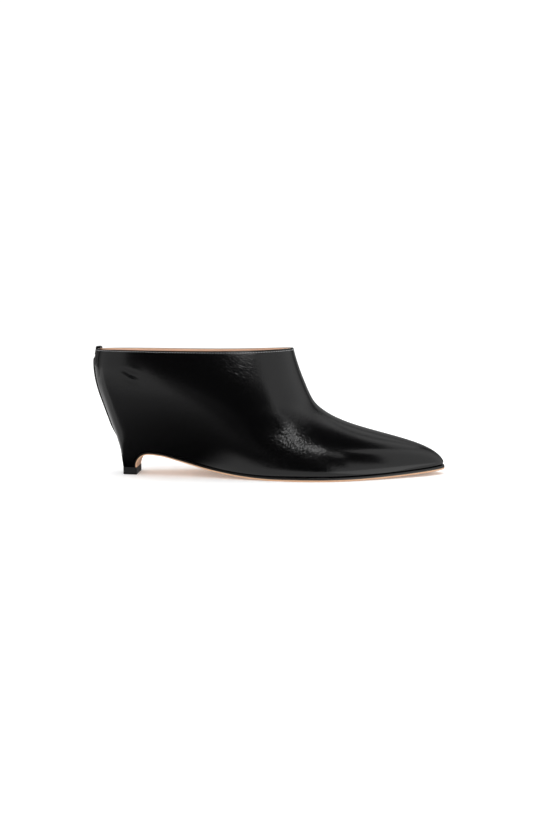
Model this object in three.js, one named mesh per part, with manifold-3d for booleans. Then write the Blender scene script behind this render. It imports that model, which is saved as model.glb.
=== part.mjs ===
// A pointed slip-on shoe on a covered wedge heel: leather upper, leather outsole, wedge, insole, top lift and back tab.
// Millimetres, +Z up. +X runs from heel to toe, and the shoe's outer side faces -Y: it is a right shoe.
// The origin is the centre of the top lift's face on the floor.

import * as THREE from "three";
import { mergeVertices } from "three/addons/utils/BufferGeometryUtils.js";
import Module from "manifold-3d";

// Driving dimensions
const shoeLength = 265; // rearmost point of the back seam to the tip of the toe
const ballWidth = 80; // across the widest place of the forepart
const seatWidth = 57; // across the upper at the heel seat
const collarHeight = 94; // floor to the collar's back
const collarDip = 1; // how far the collar dips ahead of the middle
const throatRise = 0.9; // how far it rises again at its front
const heelHeight = 50; // floor to the footbed under the heel
const heelInset = 28.5; // rearmost point of the shoe to the middle of the top lift
const toeSwing = 5; // how far the toe turns towards the big toe's side
const wall = 1.8; // upper leather and its lining
const clearance = 0.3; // between pieces that touch

// Heel and top lift
const liftLength = 10.2;
const liftHeight = 5.2;

// Outsole
const soleThickness = 3.1; // under the forepart
const breastShare = 0.64; // the sole is skived to this share of its thickness where it ends on the lift
const breastRadius = 10.3; // from the lift up into the arch
const crestRadius = 56; // over the top of the arch
const waistSlope = THREE.MathUtils.degToRad(15.6);
const waistRadius = 230; // from the waist down to the floor
const treadLength = 38; // flat part under the ball
const toeSpring = 3.7; // the toe's height off the floor
const bevelShare = 0.45; // height of the bevel along the sole's lower edge, share of its thickness
const bevelWidth = 1;
const toeMargin = 1.2; // how far the sole stands past the upper's feather edge at the toe
const sideMargin = 0.7; // the same beside the ball

// Insole and footbed
const insoleThickness = 2.4;
const seatPitch = THREE.MathUtils.degToRad(3);
const seatLength = 44; // from the back of the footbed to where it turns down
const seatRadius = 60;
const footbedSlope = THREE.MathUtils.degToRad(27);
const footbedRadius = 90; // where the footbed levels out at the ball
const wedgeTip = 1.2; // thickness of the wedge where it ends under the ball

// Raised seam down the centre of the back
const seamWidth = 1.6;
const seamRise = 1.8;
const seamGap = 1.6; // from its upper end to the tab
const seamBottom = 20;

// Folded leather tab over the collar's back
const tabWidth = 8;
const tabThickness = 0.9;
const tabRise = 1.9; // above the collar
const tabDrop = 4.2; // below the collar

// Outline of the last from the side, level by level.
// rise: share of collarHeight. back and front: share of shoeLength from the rearmost point.
// backRound and frontRound: radius of the level's rear and front end, share of seatWidth.
// spread: how fast the front end opens behind its round.
const levels = [
  { rise: 0.0, back: 0.0861, front: 0.9803, backRound: 1.5, frontRound: 0.11, spread: 0.7 },
  { rise: 0.057, back: 0.0850, front: 0.9895, backRound: 1.4, frontRound: 0.11, spread: 0.7 },
  { rise: 0.085, back: 0.0838, front: 0.9962, backRound: 1.2, frontRound: 0.11, spread: 0.7 },
  { rise: 0.128, back: 0.0811, front: 0.9910, backRound: 0.95, frontRound: 0.11, spread: 0.69 },
  { rise: 0.191, back: 0.0778, front: 0.9650, backRound: 0.75, frontRound: 0.11, spread: 0.67 },
  { rise: 0.255, back: 0.0713, front: 0.9152, backRound: 0.62, frontRound: 0.115, spread: 0.635 },
  { rise: 0.319, back: 0.0637, front: 0.8403, backRound: 0.53, frontRound: 0.13, spread: 0.59 },
  { rise: 0.383, back: 0.0549, front: 0.7589, backRound: 0.49, frontRound: 0.18, spread: 0.565 },
  { rise: 0.447, back: 0.0465, front: 0.6967, backRound: 0.47, frontRound: 0.26, spread: 0.54 },
  { rise: 0.511, back: 0.0382, front: 0.6561, backRound: 0.46, frontRound: 0.345, spread: 0.48 },
  { rise: 0.574, back: 0.0303, front: 0.6306, backRound: 0.45, frontRound: 0.405, spread: 0.37 },
  { rise: 0.638, back: 0.0224, front: 0.6166, backRound: 0.45, frontRound: 0.43, spread: 0.255 },
  { rise: 0.734, back: 0.0130, front: 0.6016, backRound: 0.44, frontRound: 0.425, spread: 0.13 },
  { rise: 0.83, back: 0.0079, front: 0.5880, backRound: 0.44, frontRound: 0.4, spread: 0.065 },
  { rise: 0.926, back: 0.0079, front: 0.5766, backRound: 0.43, frontRound: 0.38, spread: 0.035 },
  { rise: 1.0, back: 0.0130, front: 0.5695, backRound: 0.42, frontRound: 0.365, spread: 0.02 },
  { rise: 1.08, back: 0.0210, front: 0.5634, backRound: 0.42, frontRound: 0.36, spread: 0.02 },
];

// Half widths of the last, station by station.
// along: share of shoeLength from the rearmost point.
// outerFoot and innerFoot: at the floor, share of ballWidth. outerTop and innerTop: at collar height, share of seatWidth.
// bow: how far the side swells between them, share of seatWidth. tuck: share of the width drawn in at the sole.
const stations = [
  { along: 0.0, outerFoot: 0.09, innerFoot: 0.09, outerTop: 0.46, innerTop: 0.44, bow: 0.09, tuck: 0.03 },
  { along: 0.113, outerFoot: 0.1, innerFoot: 0.1, outerTop: 0.5, innerTop: 0.475, bow: 0.105, tuck: 0.03 },
  { along: 0.17, outerFoot: 0.13, innerFoot: 0.128, outerTop: 0.52, innerTop: 0.49, bow: 0.115, tuck: 0.03 },
  { along: 0.226, outerFoot: 0.17, innerFoot: 0.166, outerTop: 0.53, innerTop: 0.5, bow: 0.12, tuck: 0.03 },
  { along: 0.302, outerFoot: 0.24, innerFoot: 0.228, outerTop: 0.537, innerTop: 0.508, bow: 0.112, tuck: 0.03 },
  { along: 0.396, outerFoot: 0.345, innerFoot: 0.307, outerTop: 0.535, innerTop: 0.508, bow: 0.09, tuck: 0.035 },
  { along: 0.491, outerFoot: 0.438, innerFoot: 0.382, outerTop: 0.52, innerTop: 0.495, bow: 0.065, tuck: 0.045 },
  { along: 0.585, outerFoot: 0.5, innerFoot: 0.465, outerTop: 0.475, innerTop: 0.46, bow: 0.05, tuck: 0.055 },
  { along: 0.66, outerFoot: 0.512, innerFoot: 0.508, outerTop: 0.42, innerTop: 0.42, bow: 0.045, tuck: 0.06 },
  { along: 0.736, outerFoot: 0.469, innerFoot: 0.483, outerTop: 0.35, innerTop: 0.37, bow: 0.04, tuck: 0.06 },
  { along: 0.811, outerFoot: 0.387, innerFoot: 0.412, outerTop: 0.275, innerTop: 0.3, bow: 0.03, tuck: 0.065 },
  { along: 0.887, outerFoot: 0.287, innerFoot: 0.315, outerTop: 0.195, innerTop: 0.22, bow: 0.022, tuck: 0.07 },
  { along: 0.943, outerFoot: 0.206, innerFoot: 0.225, outerTop: 0.14, innerTop: 0.155, bow: 0.015, tuck: 0.075 },
  { along: 1.0, outerFoot: 0.115, innerFoot: 0.125, outerTop: 0.08, innerTop: 0.08, bow: 0.01, tuck: 0.08 },
];
const tuckHeight = 7; // how far above the sole the sides start to draw in
const swingStart = 0.5; // share of shoeLength where the toe starts to turn

// Mesh density
const seatSteps = 7; // along the top lift
const soleSteps = 40; // from the breast to the toe
const riseSteps = 20; // from the sole to the collar
const turnWeight = 30; // length that one radian of turn counts for where a profile is divided
const wedgeRiseSteps = 6;
const profileSamples = 240;

// A natural cubic spline through a table's column.
function splineOf(rows, at, column) {
  const x = rows.map((row) => row[at]);
  const y = rows.map((row) => row[column]);
  const last = x.length - 1;
  const bend = new Array(last + 1).fill(0);
  const carry = new Array(last + 1).fill(0);
  for (let i = 1; i < last; i++) {
    const share = (x[i] - x[i - 1]) / (x[i + 1] - x[i - 1]);
    const pivot = share * bend[i - 1] + 2;
    const slopeAfter = (y[i + 1] - y[i]) / (x[i + 1] - x[i]);
    const slopeBefore = (y[i] - y[i - 1]) / (x[i] - x[i - 1]);
    bend[i] = (share - 1) / pivot;
    carry[i] = ((6 * (slopeAfter - slopeBefore)) / (x[i + 1] - x[i - 1]) - share * carry[i - 1]) / pivot;
  }
  bend[last] = 0;
  for (let i = last - 1; i >= 0; i--) bend[i] = bend[i] * bend[i + 1] + carry[i];
  return (value) => {
    let i = 0;
    while (i < last - 1 && value > x[i + 1]) i++;
    const width = x[i + 1] - x[i];
    const a = (x[i + 1] - value) / width;
    const b = (value - x[i]) / width;
    const curve = ((a ** 3 - a) * bend[i] + (b ** 3 - b) * bend[i + 1]) * width ** 2;
    return a * y[i] + b * y[i + 1] + curve / 6;
  };
}

const level = Object.fromEntries(
  ["back", "front", "backRound", "frontRound", "spread"].map((name) => [name, splineOf(levels, "rise", name)]),
);
const station = Object.fromEntries(
  ["outerFoot", "innerFoot", "outerTop", "innerTop", "bow", "tuck"].map((name) => [
    name,
    splineOf(stations, "along", name),
  ]),
);

const place = (along) => along * shoeLength - heelInset;
const alongOf = (x) => (x + heelInset) / shoeLength;
const smooth = (t) => {
  const c = THREE.MathUtils.clamp(t, 0, 1);
  return c * c * (3 - 2 * c);
};

// The toe turns sideways along this line.
function centreLine(x) {
  const t = Math.max(0, (alongOf(x) - swingStart) / (1 - swingStart));
  return toeSwing * t * t;
}

// Where the last begins and ends at height z, set in by inset along its own slope.
function reachAt(name, z, inset) {
  const step = 0.5;
  const at = (height) => place(level[name](height / collarHeight));
  const slope = (at(z + step) - at(z - step)) / (2 * step);
  const lean = Math.hypot(1, slope);
  const sign = name === "back" ? 1 : -1;
  return { x: at(z) + sign * inset * lean, lean };
}

// The bottom of the sole from the lift's front edge to the toe, seen from the side.
const breastX = liftLength / 2;
const soleStart = liftHeight + clearance;
const toeEnd = reachAt("front", toeSpring + soleThickness + clearance, -toeMargin).x;

function bottomProfile() {
  const path = new THREE.Path();
  const crestX = breastX + breastRadius;
  const crestZ = soleStart + breastRadius;
  path.moveTo(breastX, soleStart);
  path.absarc(crestX, soleStart, breastRadius, Math.PI, Math.PI / 2, true);
  path.absarc(crestX, crestZ - crestRadius, crestRadius, Math.PI / 2, Math.PI / 2 - waistSlope, true);
  const slopeX = crestX + crestRadius * Math.sin(waistSlope);
  const slopeZ = crestZ - crestRadius * (1 - Math.cos(waistSlope));
  const landing = waistRadius * (1 - Math.cos(waistSlope));
  const landingX = slopeX + (slopeZ - landing) / Math.tan(waistSlope);
  path.lineTo(landingX, landing);
  const treadX = landingX + waistRadius * Math.sin(waistSlope);
  path.absarc(treadX, waistRadius, waistRadius, 1.5 * Math.PI - waistSlope, 1.5 * Math.PI, false);
  const springX = treadX + treadLength;
  path.lineTo(springX, 0);
  const run = toeEnd - springX;
  const springRadius = (run * run + toeSpring * toeSpring) / (2 * toeSpring);
  const turn = Math.asin(run / springRadius);
  path.absarc(springX, springRadius, springRadius, 1.5 * Math.PI, 1.5 * Math.PI + turn, false);
  return { path, treadX, springX, springRadius, turn };
}
const bottom = bottomProfile();

// The sole's thickness at a share of the way from breast to toe.
function thicknessAt(share) {
  return soleThickness * (breastShare + (1 - breastShare) * smooth(share / 0.5));
}

// A point of the side view above the sole's bottom: a share of the sole's thickness, plus extra, along its normal.
function overSole(share, thicknesses, extra) {
  const p = bottom.path.getPointAt(THREE.MathUtils.clamp(share, 0, 1));
  const t = bottom.path.getTangentAt(THREE.MathUtils.clamp(share, 0, 1));
  const h = thicknesses * thicknessAt(share) + extra;
  return { x: p.x - t.y * h, z: p.y + t.x * h };
}

// The top of the sole, sampled once, as a height over x.
const soleTop = Array.from({ length: profileSamples + 1 }, (_, i) => overSole(i / profileSamples, 1, 0));
function soleTopAt(x) {
  if (x <= soleTop[0].x) return soleStart;
  let i = 1;
  while (i < profileSamples && soleTop[i].x < x) i++;
  const a = soleTop[i - 1];
  const b = soleTop[i];
  return a.z + ((b.z - a.z) * (x - a.x)) / Math.max(1e-6, b.x - a.x);
}

// Half width of the last at x and height z, set in by inset. side is -1 for the outer side and 1 for the inner one.
// It is the soft minimum of the side's wall, the round of the back and the crest of the front.
function halfWidth(x, z, side, inset = 0) {
  const along = alongOf(x);
  const up = z / collarHeight;
  const foot = station[side < 0 ? "outerFoot" : "innerFoot"](along) * ballWidth;
  const top = station[side < 0 ? "outerTop" : "innerTop"](along) * seatWidth;
  const bow = 4 * station.bow(along) * seatWidth * up * (1 - up);
  const drawn = Math.max(0, 1 - Math.max(0, z - soleTopAt(x)) / tuckHeight);
  const side_ = (foot + (top - foot) * up + bow) * (1 - station.tuck(along) * drawn ** 3) - inset;
  const back = reachAt("back", z, inset);
  const front = reachAt("front", z, inset);
  const behind = x - back.x;
  const ahead = front.x - x;
  if (behind <= 0 || ahead <= 0) return 0;
  const backRadius = level.backRound(up) * seatWidth - inset / back.lean;
  const frontRadius = Math.max(0.8, level.frontRound(up) * seatWidth - inset / front.lean);
  const sideSquare = Math.max(0.01, side_) ** 2;
  const backSquare = 2 * backRadius * behind;
  const frontSquare = 2 * frontRadius * ahead + (level.spread(up) * ahead) ** 2;
  return (sideSquare ** -2 + backSquare ** -2 + frontSquare ** -2) ** -0.25;
}

// Spacing that is dense at both ends, and at the start only.
const denseEnds = (t) => (1 - Math.cos(Math.PI * t)) / 2;
const denseStart = (t) => 1 - Math.cos((Math.PI / 2) * t);

// Lower edge of a piece in the side view: along the lift, up the breast and along the sole to the toe.
function lowerEdge(inset, extra) {
  const points = [];
  const corner = overSole(0, 1, extra);
  const startZ = soleStart + Math.max(0, extra - clearance);
  const start = reachAt("back", startZ, inset).x;
  for (let i = 0; i < seatSteps; i++)
    points.push({ x: start + (corner.x - start) * denseStart(i / seatSteps), z: startZ });
  for (let i = 0; i <= soleSteps; i++) points.push(overSole(denseEnds(i / soleSteps), 1, extra));
  return points;
}

// Where a lower edge meets the last's front profile, which trims it.
function trimToToe(points, inset) {
  const inside = points.filter((p) => p.x < reachAt("front", p.z, inset).x - 0.4);
  const kept = inside.length - 1;
  const last = points[kept + 1] ?? points[kept];
  const end = { x: reachAt("front", last.z, inset).x, z: last.z };
  const tail = points.length - kept - 1;
  const from = points[kept];
  return [
    ...points.slice(0, kept + 1),
    ...Array.from({ length: tail }, (_, i) => {
      const t = Math.sin(((i + 1) / tail) * (Math.PI / 2));
      return { x: from.x + (end.x - from.x) * t, z: from.z + (end.z - from.z) * t };
    }),
  ];
}

// The collar's height over its own length, 0 at the back and 1 at the throat. The dip is deepest at two thirds.
const collarAt = (t) => collarHeight - (27 / 4) * collarDip * t * t * (1 - t) + throatRise * t ** 3;

// A profile of the last between two heights, as points that lie closer where it turns.
function profile(name, low, high, inset, steps) {
  const fine = Array.from({ length: profileSamples + 1 }, (_, i) => {
    const z = low + ((high - low) * i) / profileSamples;
    return { x: reachAt(name, z, inset).x, z };
  });
  const run = [0];
  let heading = null;
  for (let i = 1; i < fine.length; i++) {
    const dx = fine[i].x - fine[i - 1].x;
    const dz = fine[i].z - fine[i - 1].z;
    const angle = Math.atan2(dz, dx);
    const turned = Math.abs(angle - (heading ?? angle));
    heading = angle;
    run.push(run[i - 1] + Math.hypot(dx, dz) + turnWeight * turned);
  }
  return Array.from({ length: steps + 1 }, (_, k) => {
    const goal = (k / steps) * run[profileSamples];
    let i = 1;
    while (i < profileSamples && run[i] < goal) i++;
    const t = (goal - run[i - 1]) / Math.max(1e-9, run[i] - run[i - 1]);
    return {
      x: fine[i - 1].x + (fine[i].x - fine[i - 1].x) * t,
      z: fine[i - 1].z + (fine[i].z - fine[i - 1].z) * t,
    };
  });
}

// How far along a lower edge each of its points lies, from 0 at the back to 1 at the front.
const sharesOf = (low) => low.map((p) => (p.x - low[0].x) / (low[low.length - 1].x - low[0].x));

// Fills the side view between four edges: rows from low to high, each from back to front.
function patch(low, high, back, front) {
  const shares = sharesOf(low);
  const rows = back.length - 1;
  return back.map((_, j) => {
    const v = j / rows;
    const b = (back[j].z - back[0].z) / (back[rows].z - back[0].z);
    const f = j === rows ? 1 : j === 0 ? 0 : v;
    return low.map((_, i) => {
      const u = shares[i];
      const rise = b + (f - b) * u;
      const mix = (key) =>
        (1 - rise) * low[i][key] +
        rise * high[i][key] +
        (1 - u) * (back[j][key] - (1 - rise) * back[0][key] - rise * back[rows][key]) +
        u * (front[j][key] - (1 - rise) * front[0][key] - rise * front[rows][key]);
      return { x: mix("x"), z: mix("z") };
    });
  });
}

// Rings of points round the last from a side view's rows: along the outer side to the front, and back on the inner one.
function ringsFrom(rows, inset, closedFront) {
  return rows.map((row) => {
    const end = row.length - 1;
    const point = (i, side) => {
      const { x, z } = row[i];
      const tip = i === 0 || (closedFront && i === end);
      const half = tip ? 0 : Math.max(0.02, halfWidth(x, z, side, inset));
      return new THREE.Vector3(x, centreLine(x) + side * half, z);
    };
    const outer = row.map((_, i) => point(i, -1));
    const inner = row.map((_, i) => point(i, 1)).reverse();
    return [...outer, ...inner];
  });
}

// A closed surface through rings of equally many points. A ring runs out on one side and back on the other,
// so that its ends are capped by strips across it.
function surface(rings, { capped }) {
  const count = rings[0].length;
  const positions = rings.flat().flatMap((p) => [p.x, p.y, p.z]);
  const faces = [];
  const quad = (a, b, c, d) => faces.push(a, b, c, a, c, d);
  const loops = capped ? rings.length - 1 : rings.length;
  for (let r = 0; r < loops; r++) {
    const here = r * count;
    const next = ((r + 1) % rings.length) * count;
    for (let i = 0; i < count; i++) {
      const j = (i + 1) % count;
      quad(here + i, here + j, next + j, next + i);
    }
  }
  if (capped) {
    const top = (rings.length - 1) * count;
    for (let i = 0; i < count / 2 - 1; i++) {
      const mate = count - 1 - i;
      quad(i, mate, mate - 1, i + 1);
      quad(top + i, top + i + 1, top + mate - 1, top + mate);
    }
  }
  const geometry = new THREE.BufferGeometry();
  geometry.setAttribute("position", new THREE.Float32BufferAttribute(positions, 3));
  geometry.setIndex(faces);
  return closed(geometry);
}

// The geometry with its shared vertices merged and its empty triangles left out.
function closed(geometry) {
  geometry.deleteAttribute("normal");
  geometry.deleteAttribute("uv");
  const merged = mergeVertices(geometry, 1e-3);
  const index = Array.from(merged.index.array);
  const kept = [];
  for (let i = 0; i < index.length; i += 3) {
    const [a, b, c] = index.slice(i, i + 3);
    if (a !== b && b !== c && a !== c) kept.push(a, b, c);
  }
  merged.setIndex(kept);
  return merged;
}

const wasm = await Module();
wasm.setup();

function solidOf(geometry) {
  const mesh = new wasm.Mesh({
    numProp: 3,
    vertProperties: new Float32Array(geometry.attributes.position.array),
    triVerts: new Uint32Array(geometry.index.array),
  });
  return new wasm.Manifold(mesh);
}

function geometryOf(solid) {
  const mesh = solid.getMesh();
  const geometry = new THREE.BufferGeometry();
  geometry.setAttribute("position", new THREE.Float32BufferAttribute(mesh.vertProperties, 3));
  geometry.setIndex(Array.from(mesh.triVerts));
  return geometry;
}

// The upper: one wall from the sole to the collar, open above and below
function wallRows(inset) {
  const low = trimToToe(lowerEdge(inset, clearance), inset);
  const startZ = low[0].z;
  const toe = low[low.length - 1];
  const backX = reachAt("back", collarAt(0), inset).x;
  const throatX = reachAt("front", collarAt(1), inset).x;
  const high = sharesOf(low).map((t) => ({ x: backX + (throatX - backX) * t, z: collarAt(t) }));
  const back = profile("back", startZ, collarAt(0), inset, riseSteps);
  const front = profile("front", toe.z, collarAt(1), inset, riseSteps);
  return patch(low, high, back, front);
}

// The raised seam down the back, as a thin fin that dies away at its lower end
function backSeam() {
  const steps = 22;
  const seamTop = collarAt(0) - tabDrop - seamGap;
  const line = Array.from({ length: steps + 1 }, (_, i) => {
    const z = seamBottom + ((seamTop - seamBottom) * i) / steps;
    return { z, x: reachAt("back", z, 0).x, rise: seamRise * smooth((i / steps) * 4) };
  });
  const shape = new THREE.Shape();
  line.forEach(({ x, z, rise }, i) => (i ? shape.lineTo(x - rise, z) : shape.moveTo(x - rise, z)));
  [...line].reverse().forEach(({ x, z }) => shape.lineTo(x + wall / 2, z));
  const geometry = new THREE.ExtrudeGeometry(shape, { depth: seamWidth, bevelEnabled: false });
  geometry.rotateX(Math.PI / 2);
  geometry.translate(0, seamWidth / 2, 0);
  return closed(geometry);
}

function upperGeometry() {
  const outer = ringsFrom(wallRows(0), 0, true);
  const inner = ringsFrom(wallRows(wall), wall, true).reverse();
  const shell = solidOf(surface([...outer, ...inner], { capped: false }));
  return geometryOf(shell.add(solidOf(backSeam())));
}

// A slab that follows the side view: each row holds a section's upper and lower points, widest first
function slab(sections) {
  const rings = sections.map((section) =>
    [...section.map((p) => ({ ...p, side: -1 })), ...[...section].reverse().map((p) => ({ ...p, side: 1 }))].map(
      ({ x, z, outer, inner, side }) =>
        new THREE.Vector3(x, centreLine(x) + side * (side < 0 ? outer : inner), z),
    ),
  );
  return surface(rings, { capped: true });
}

// The outsole: bevelled along its lower edge, skived where it covers the breast
function outsoleGeometry() {
  const marginAt = (share) => sideMargin * smooth((share - 0.35) / 0.2) + (toeMargin - sideMargin) * share ** 4;
  const sections = Array.from({ length: soleSteps + 1 }, (_, i) => {
    const share = denseEnds(i / soleSteps);
    const top = overSole(share, 1, 0);
    const half = (side) => Math.max(0.6, halfWidth(top.x, top.z + clearance, side, -marginAt(share)));
    const outer = half(-1);
    const inner = half(1);
    const bevel = Math.min(bevelWidth, outer / 2) * (thicknessAt(share) / soleThickness);
    return [
      { ...top, outer, inner },
      { ...overSole(share, bevelShare, 0), outer, inner },
      { ...overSole(share, 0, 0), outer: outer - bevel, inner: inner - bevel },
    ];
  });
  return slab(sections);
}

// The footbed's upper side, from the back of the seat to the toe, seen from the side
function footbedProfile() {
  const path = new THREE.Path();
  const inset = wall + clearance;
  const startX = reachAt("back", heelHeight, inset).x;
  const turnX = startX + seatLength;
  const turnZ = heelHeight - seatLength * Math.tan(seatPitch);
  path.moveTo(startX, heelHeight);
  path.lineTo(turnX, turnZ);
  const seatX = turnX - seatRadius * Math.sin(seatPitch);
  const seatZ = turnZ - seatRadius * Math.cos(seatPitch);
  const quarter = Math.PI / 2;
  path.absarc(seatX, seatZ, seatRadius, quarter - seatPitch, quarter - footbedSlope, true);
  const slopeX = seatX + seatRadius * Math.sin(footbedSlope);
  const slopeZ = seatZ + seatRadius * Math.cos(footbedSlope);
  const level_ = soleThickness + clearance + insoleThickness;
  const landing = level_ + footbedRadius * (1 - Math.cos(footbedSlope));
  const landingX = slopeX + (slopeZ - landing) / Math.tan(footbedSlope);
  path.lineTo(landingX, landing);
  const ballX = landingX + footbedRadius * Math.sin(footbedSlope);
  path.absarc(ballX, level_ + footbedRadius, footbedRadius, 3 * quarter - footbedSlope, 3 * quarter, false);
  path.lineTo(bottom.springX, level_);
  const radius = bottom.springRadius - level_;
  path.absarc(bottom.springX, bottom.springRadius, radius, 3 * quarter, 3 * quarter + bottom.turn, false);
  return path;
}
const footbed = footbedProfile();

// The footbed sampled once, as a height over x.
const footbedTop = footbed.getSpacedPoints(profileSamples);
function footbedAt(x) {
  let i = 1;
  while (i < profileSamples && footbedTop[i].x < x) i++;
  const a = footbedTop[i - 1];
  const b = footbedTop[i];
  return a.y + ((b.y - a.y) * (x - a.x)) / (b.x - a.x);
}

// The insole: a sheet on the wedge and the outsole, out to the upper's inner wall
function insoleGeometry() {
  const inset = wall + clearance;
  const steps = 36;
  const ends = { low: 0.002, high: 1 };
  const sections = [];
  for (let i = 0; i <= steps; i++) {
    const share = ends.low + (ends.high - ends.low) * denseEnds(i / steps);
    const p = footbed.getPointAt(share);
    const t = footbed.getTangentAt(share);
    const under = { x: p.x + t.y * insoleThickness, z: p.y - t.x * insoleThickness };
    const widthAt = (q, side) => halfWidth(q.x, q.z, side, inset);
    const over = { x: p.x, z: p.y };
    const front = reachAt("front", under.z, inset).x;
    if (p.x > front - 1) break;
    const outer = Math.min(widthAt(over, -1), widthAt(under, -1));
    const inner = Math.min(widthAt(over, 1), widthAt(under, 1));
    if (Math.min(outer, inner) < 1) continue;
    sections.push([
      { ...over, outer, inner },
      { ...under, outer, inner },
    ]);
  }
  return slab(sections);
}

// The wedge: from the outsole and the lift up to the insole, inside the upper
function wedgeGeometry() {
  const inset = wall + clearance;
  const roof = (x) => footbedAt(x) - (insoleThickness + clearance) / Math.cos(footbedSlope);
  const floor = (x) => soleTopAt(x) + clearance;
  let tipX = bottom.treadX;
  while (roof(tipX) - floor(tipX) > wedgeTip) tipX += 0.25;
  while (roof(tipX) - floor(tipX) < wedgeTip) tipX -= 0.25;
  const low = lowerEdge(inset, clearance).filter((p) => p.x < tipX - 1);
  low.push({ x: tipX, z: floor(tipX) });
  let topZ = heelHeight;
  for (let k = 0; k < 20; k++) topZ = roof(reachAt("back", topZ, inset).x);
  const backX = reachAt("back", topZ, inset).x;
  const high = sharesOf(low).map((t) => {
    const x = backX + (tipX - backX) * t;
    return { x, z: t > 0 ? roof(x) : topZ };
  });
  const back = profile("back", low[0].z, topZ, inset, wedgeRiseSteps);
  const front = back.map((_, j) => ({
    x: tipX,
    z: low[low.length - 1].z + ((high[high.length - 1].z - low[low.length - 1].z) * j) / wedgeRiseSteps,
  }));
  return surface(ringsFrom(patch(low, high, back, front), inset, false), { capped: true });
}

// The top lift: the heel's own outline, straight down to the floor
function liftGeometry() {
  const steps = 10;
  const start = reachAt("back", liftHeight, 0).x;
  const row = (z) =>
    Array.from({ length: steps + 1 }, (_, i) => ({
      x: start + (breastX - start) * denseStart(i / steps),
      z,
    }));
  const [outline] = ringsFrom([row(liftHeight)], 0, false);
  const rings = [0, liftHeight].map((z) => outline.map((p) => new THREE.Vector3(p.x, p.y, z)));
  return surface(rings, { capped: true });
}

// The tab: a strip folded over the collar, following the curve of the back
function tabGeometry() {
  const top = collarAt(0);
  const low = top - tabDrop;
  const outside = (z) => reachAt("back", z, 0).x - clearance;
  const inside = (z) => reachAt("back", z, wall).x + clearance;
  const fold = top + tabRise - tabThickness;
  const section = [
    { x: outside(low) - tabThickness, z: low },
    { x: outside(low), z: low },
    { x: outside(top), z: top },
    { x: outside(top), z: fold },
    { x: inside(top), z: fold },
    { x: inside(top), z: top },
    { x: inside(low), z: low },
    { x: inside(low) + tabThickness, z: low },
    { x: inside(top) + tabThickness, z: top },
    { x: inside(top) + tabThickness, z: fold + tabThickness * 0.5 },
    { x: inside(top) + tabThickness * 0.4, z: fold + tabThickness },
    { x: outside(top) - tabThickness * 0.4, z: fold + tabThickness },
    { x: outside(top) - tabThickness, z: fold + tabThickness * 0.5 },
    { x: outside(top) - tabThickness, z: top },
  ];
  const shape = new THREE.Shape(section.map(({ x, z }) => new THREE.Vector2(x, z)));
  const geometry = new THREE.ExtrudeGeometry(shape, { depth: tabWidth, steps: 6, bevelEnabled: false });
  geometry.rotateX(Math.PI / 2);
  geometry.translate(0, tabWidth / 2, 0);
  const radius = level.backRound(1) * seatWidth;
  const position = geometry.attributes.position;
  for (let i = 0; i < position.count; i++)
    position.setX(i, position.getX(i) + position.getY(i) ** 2 / (2 * radius));
  return closed(geometry);
}

// Materials
const material = (color, roughness) => new THREE.MeshStandardMaterial({ color, roughness, metalness: 0 });
const blackLeather = material("#101011", 0.22);
const tanLeather = material("#c9906a", 0.55);
const liningLeather = material("#d9a98c", 0.6);
const blackRubber = material("#1b1b1c", 0.6);
const cork = material("#b08a60", 0.85);

const shoe = new THREE.Group();
function add(name, geometry, finish) {
  const mesh = new THREE.Mesh(geometry, finish);
  mesh.name = name;
  shoe.add(mesh);
}
add("upper", upperGeometry(), blackLeather);
add("outsole", outsoleGeometry(), tanLeather);
add("wedge", wedgeGeometry(), cork);
add("insole", insoleGeometry(), liningLeather);
add("top_lift", liftGeometry(), blackRubber);
add("back_tab", tabGeometry(), blackLeather);

export default shoe;
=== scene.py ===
"""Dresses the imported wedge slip-on shoe: black calf over a wedge, nude lining and a natural leather sole.

Lengths are millimetres in the shoe's own frame and become metres where a mesh is made. +X runs from heel
to toe, +Z is up and the outer side faces -Y: it is a right shoe.
"""

import logging
import math
from collections.abc import Callable, Iterable, Sequence
from dataclasses import dataclass, field
from enum import Enum
from typing import NamedTuple

import bmesh
import bpy
import numpy as np
from mathutils import Euler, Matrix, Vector

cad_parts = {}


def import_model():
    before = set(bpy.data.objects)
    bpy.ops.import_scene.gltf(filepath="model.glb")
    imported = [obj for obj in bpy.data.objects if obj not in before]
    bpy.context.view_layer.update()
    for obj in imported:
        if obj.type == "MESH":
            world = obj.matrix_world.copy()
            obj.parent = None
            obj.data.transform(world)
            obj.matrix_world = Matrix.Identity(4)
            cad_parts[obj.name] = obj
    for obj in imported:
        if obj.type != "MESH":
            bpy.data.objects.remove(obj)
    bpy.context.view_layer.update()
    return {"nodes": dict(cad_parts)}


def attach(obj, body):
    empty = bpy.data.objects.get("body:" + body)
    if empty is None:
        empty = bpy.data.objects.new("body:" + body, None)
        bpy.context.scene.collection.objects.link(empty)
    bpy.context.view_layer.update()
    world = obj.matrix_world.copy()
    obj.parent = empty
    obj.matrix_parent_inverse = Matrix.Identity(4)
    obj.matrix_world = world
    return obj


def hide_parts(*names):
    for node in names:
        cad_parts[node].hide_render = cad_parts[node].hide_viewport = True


LOG = logging.getLogger("wedge_shoe")
MM = 0.001
MERGE_MM = 0.002  # points closer than this become one
SLIVER_MM = 0.001  # edges shorter than this are dissolved
SHARP_OVER = 40.0  # edges that turn further than these degrees stay sharp
SEAT_CROWD, SOLE_CROWD, FOOTBED_CROWD = 0.5, 0.12, 0.15  # the shares of the steps that lie closer at an end
FEATHER_TURNS = np.radians((0, 30, 60))
EDGE_TURNS = np.radians((30, 60, 90, 120, 150, 180))
CORNER_TURNS = np.radians((0, 30, 60, 90))
SOFT_TURNS = np.radians((0, 25, 50, 70, 90))
ENDS = np.array([0.0, 1.0])
Array = np.ndarray
Material = bpy.types.Material
Socket = bpy.types.NodeSocket
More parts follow.
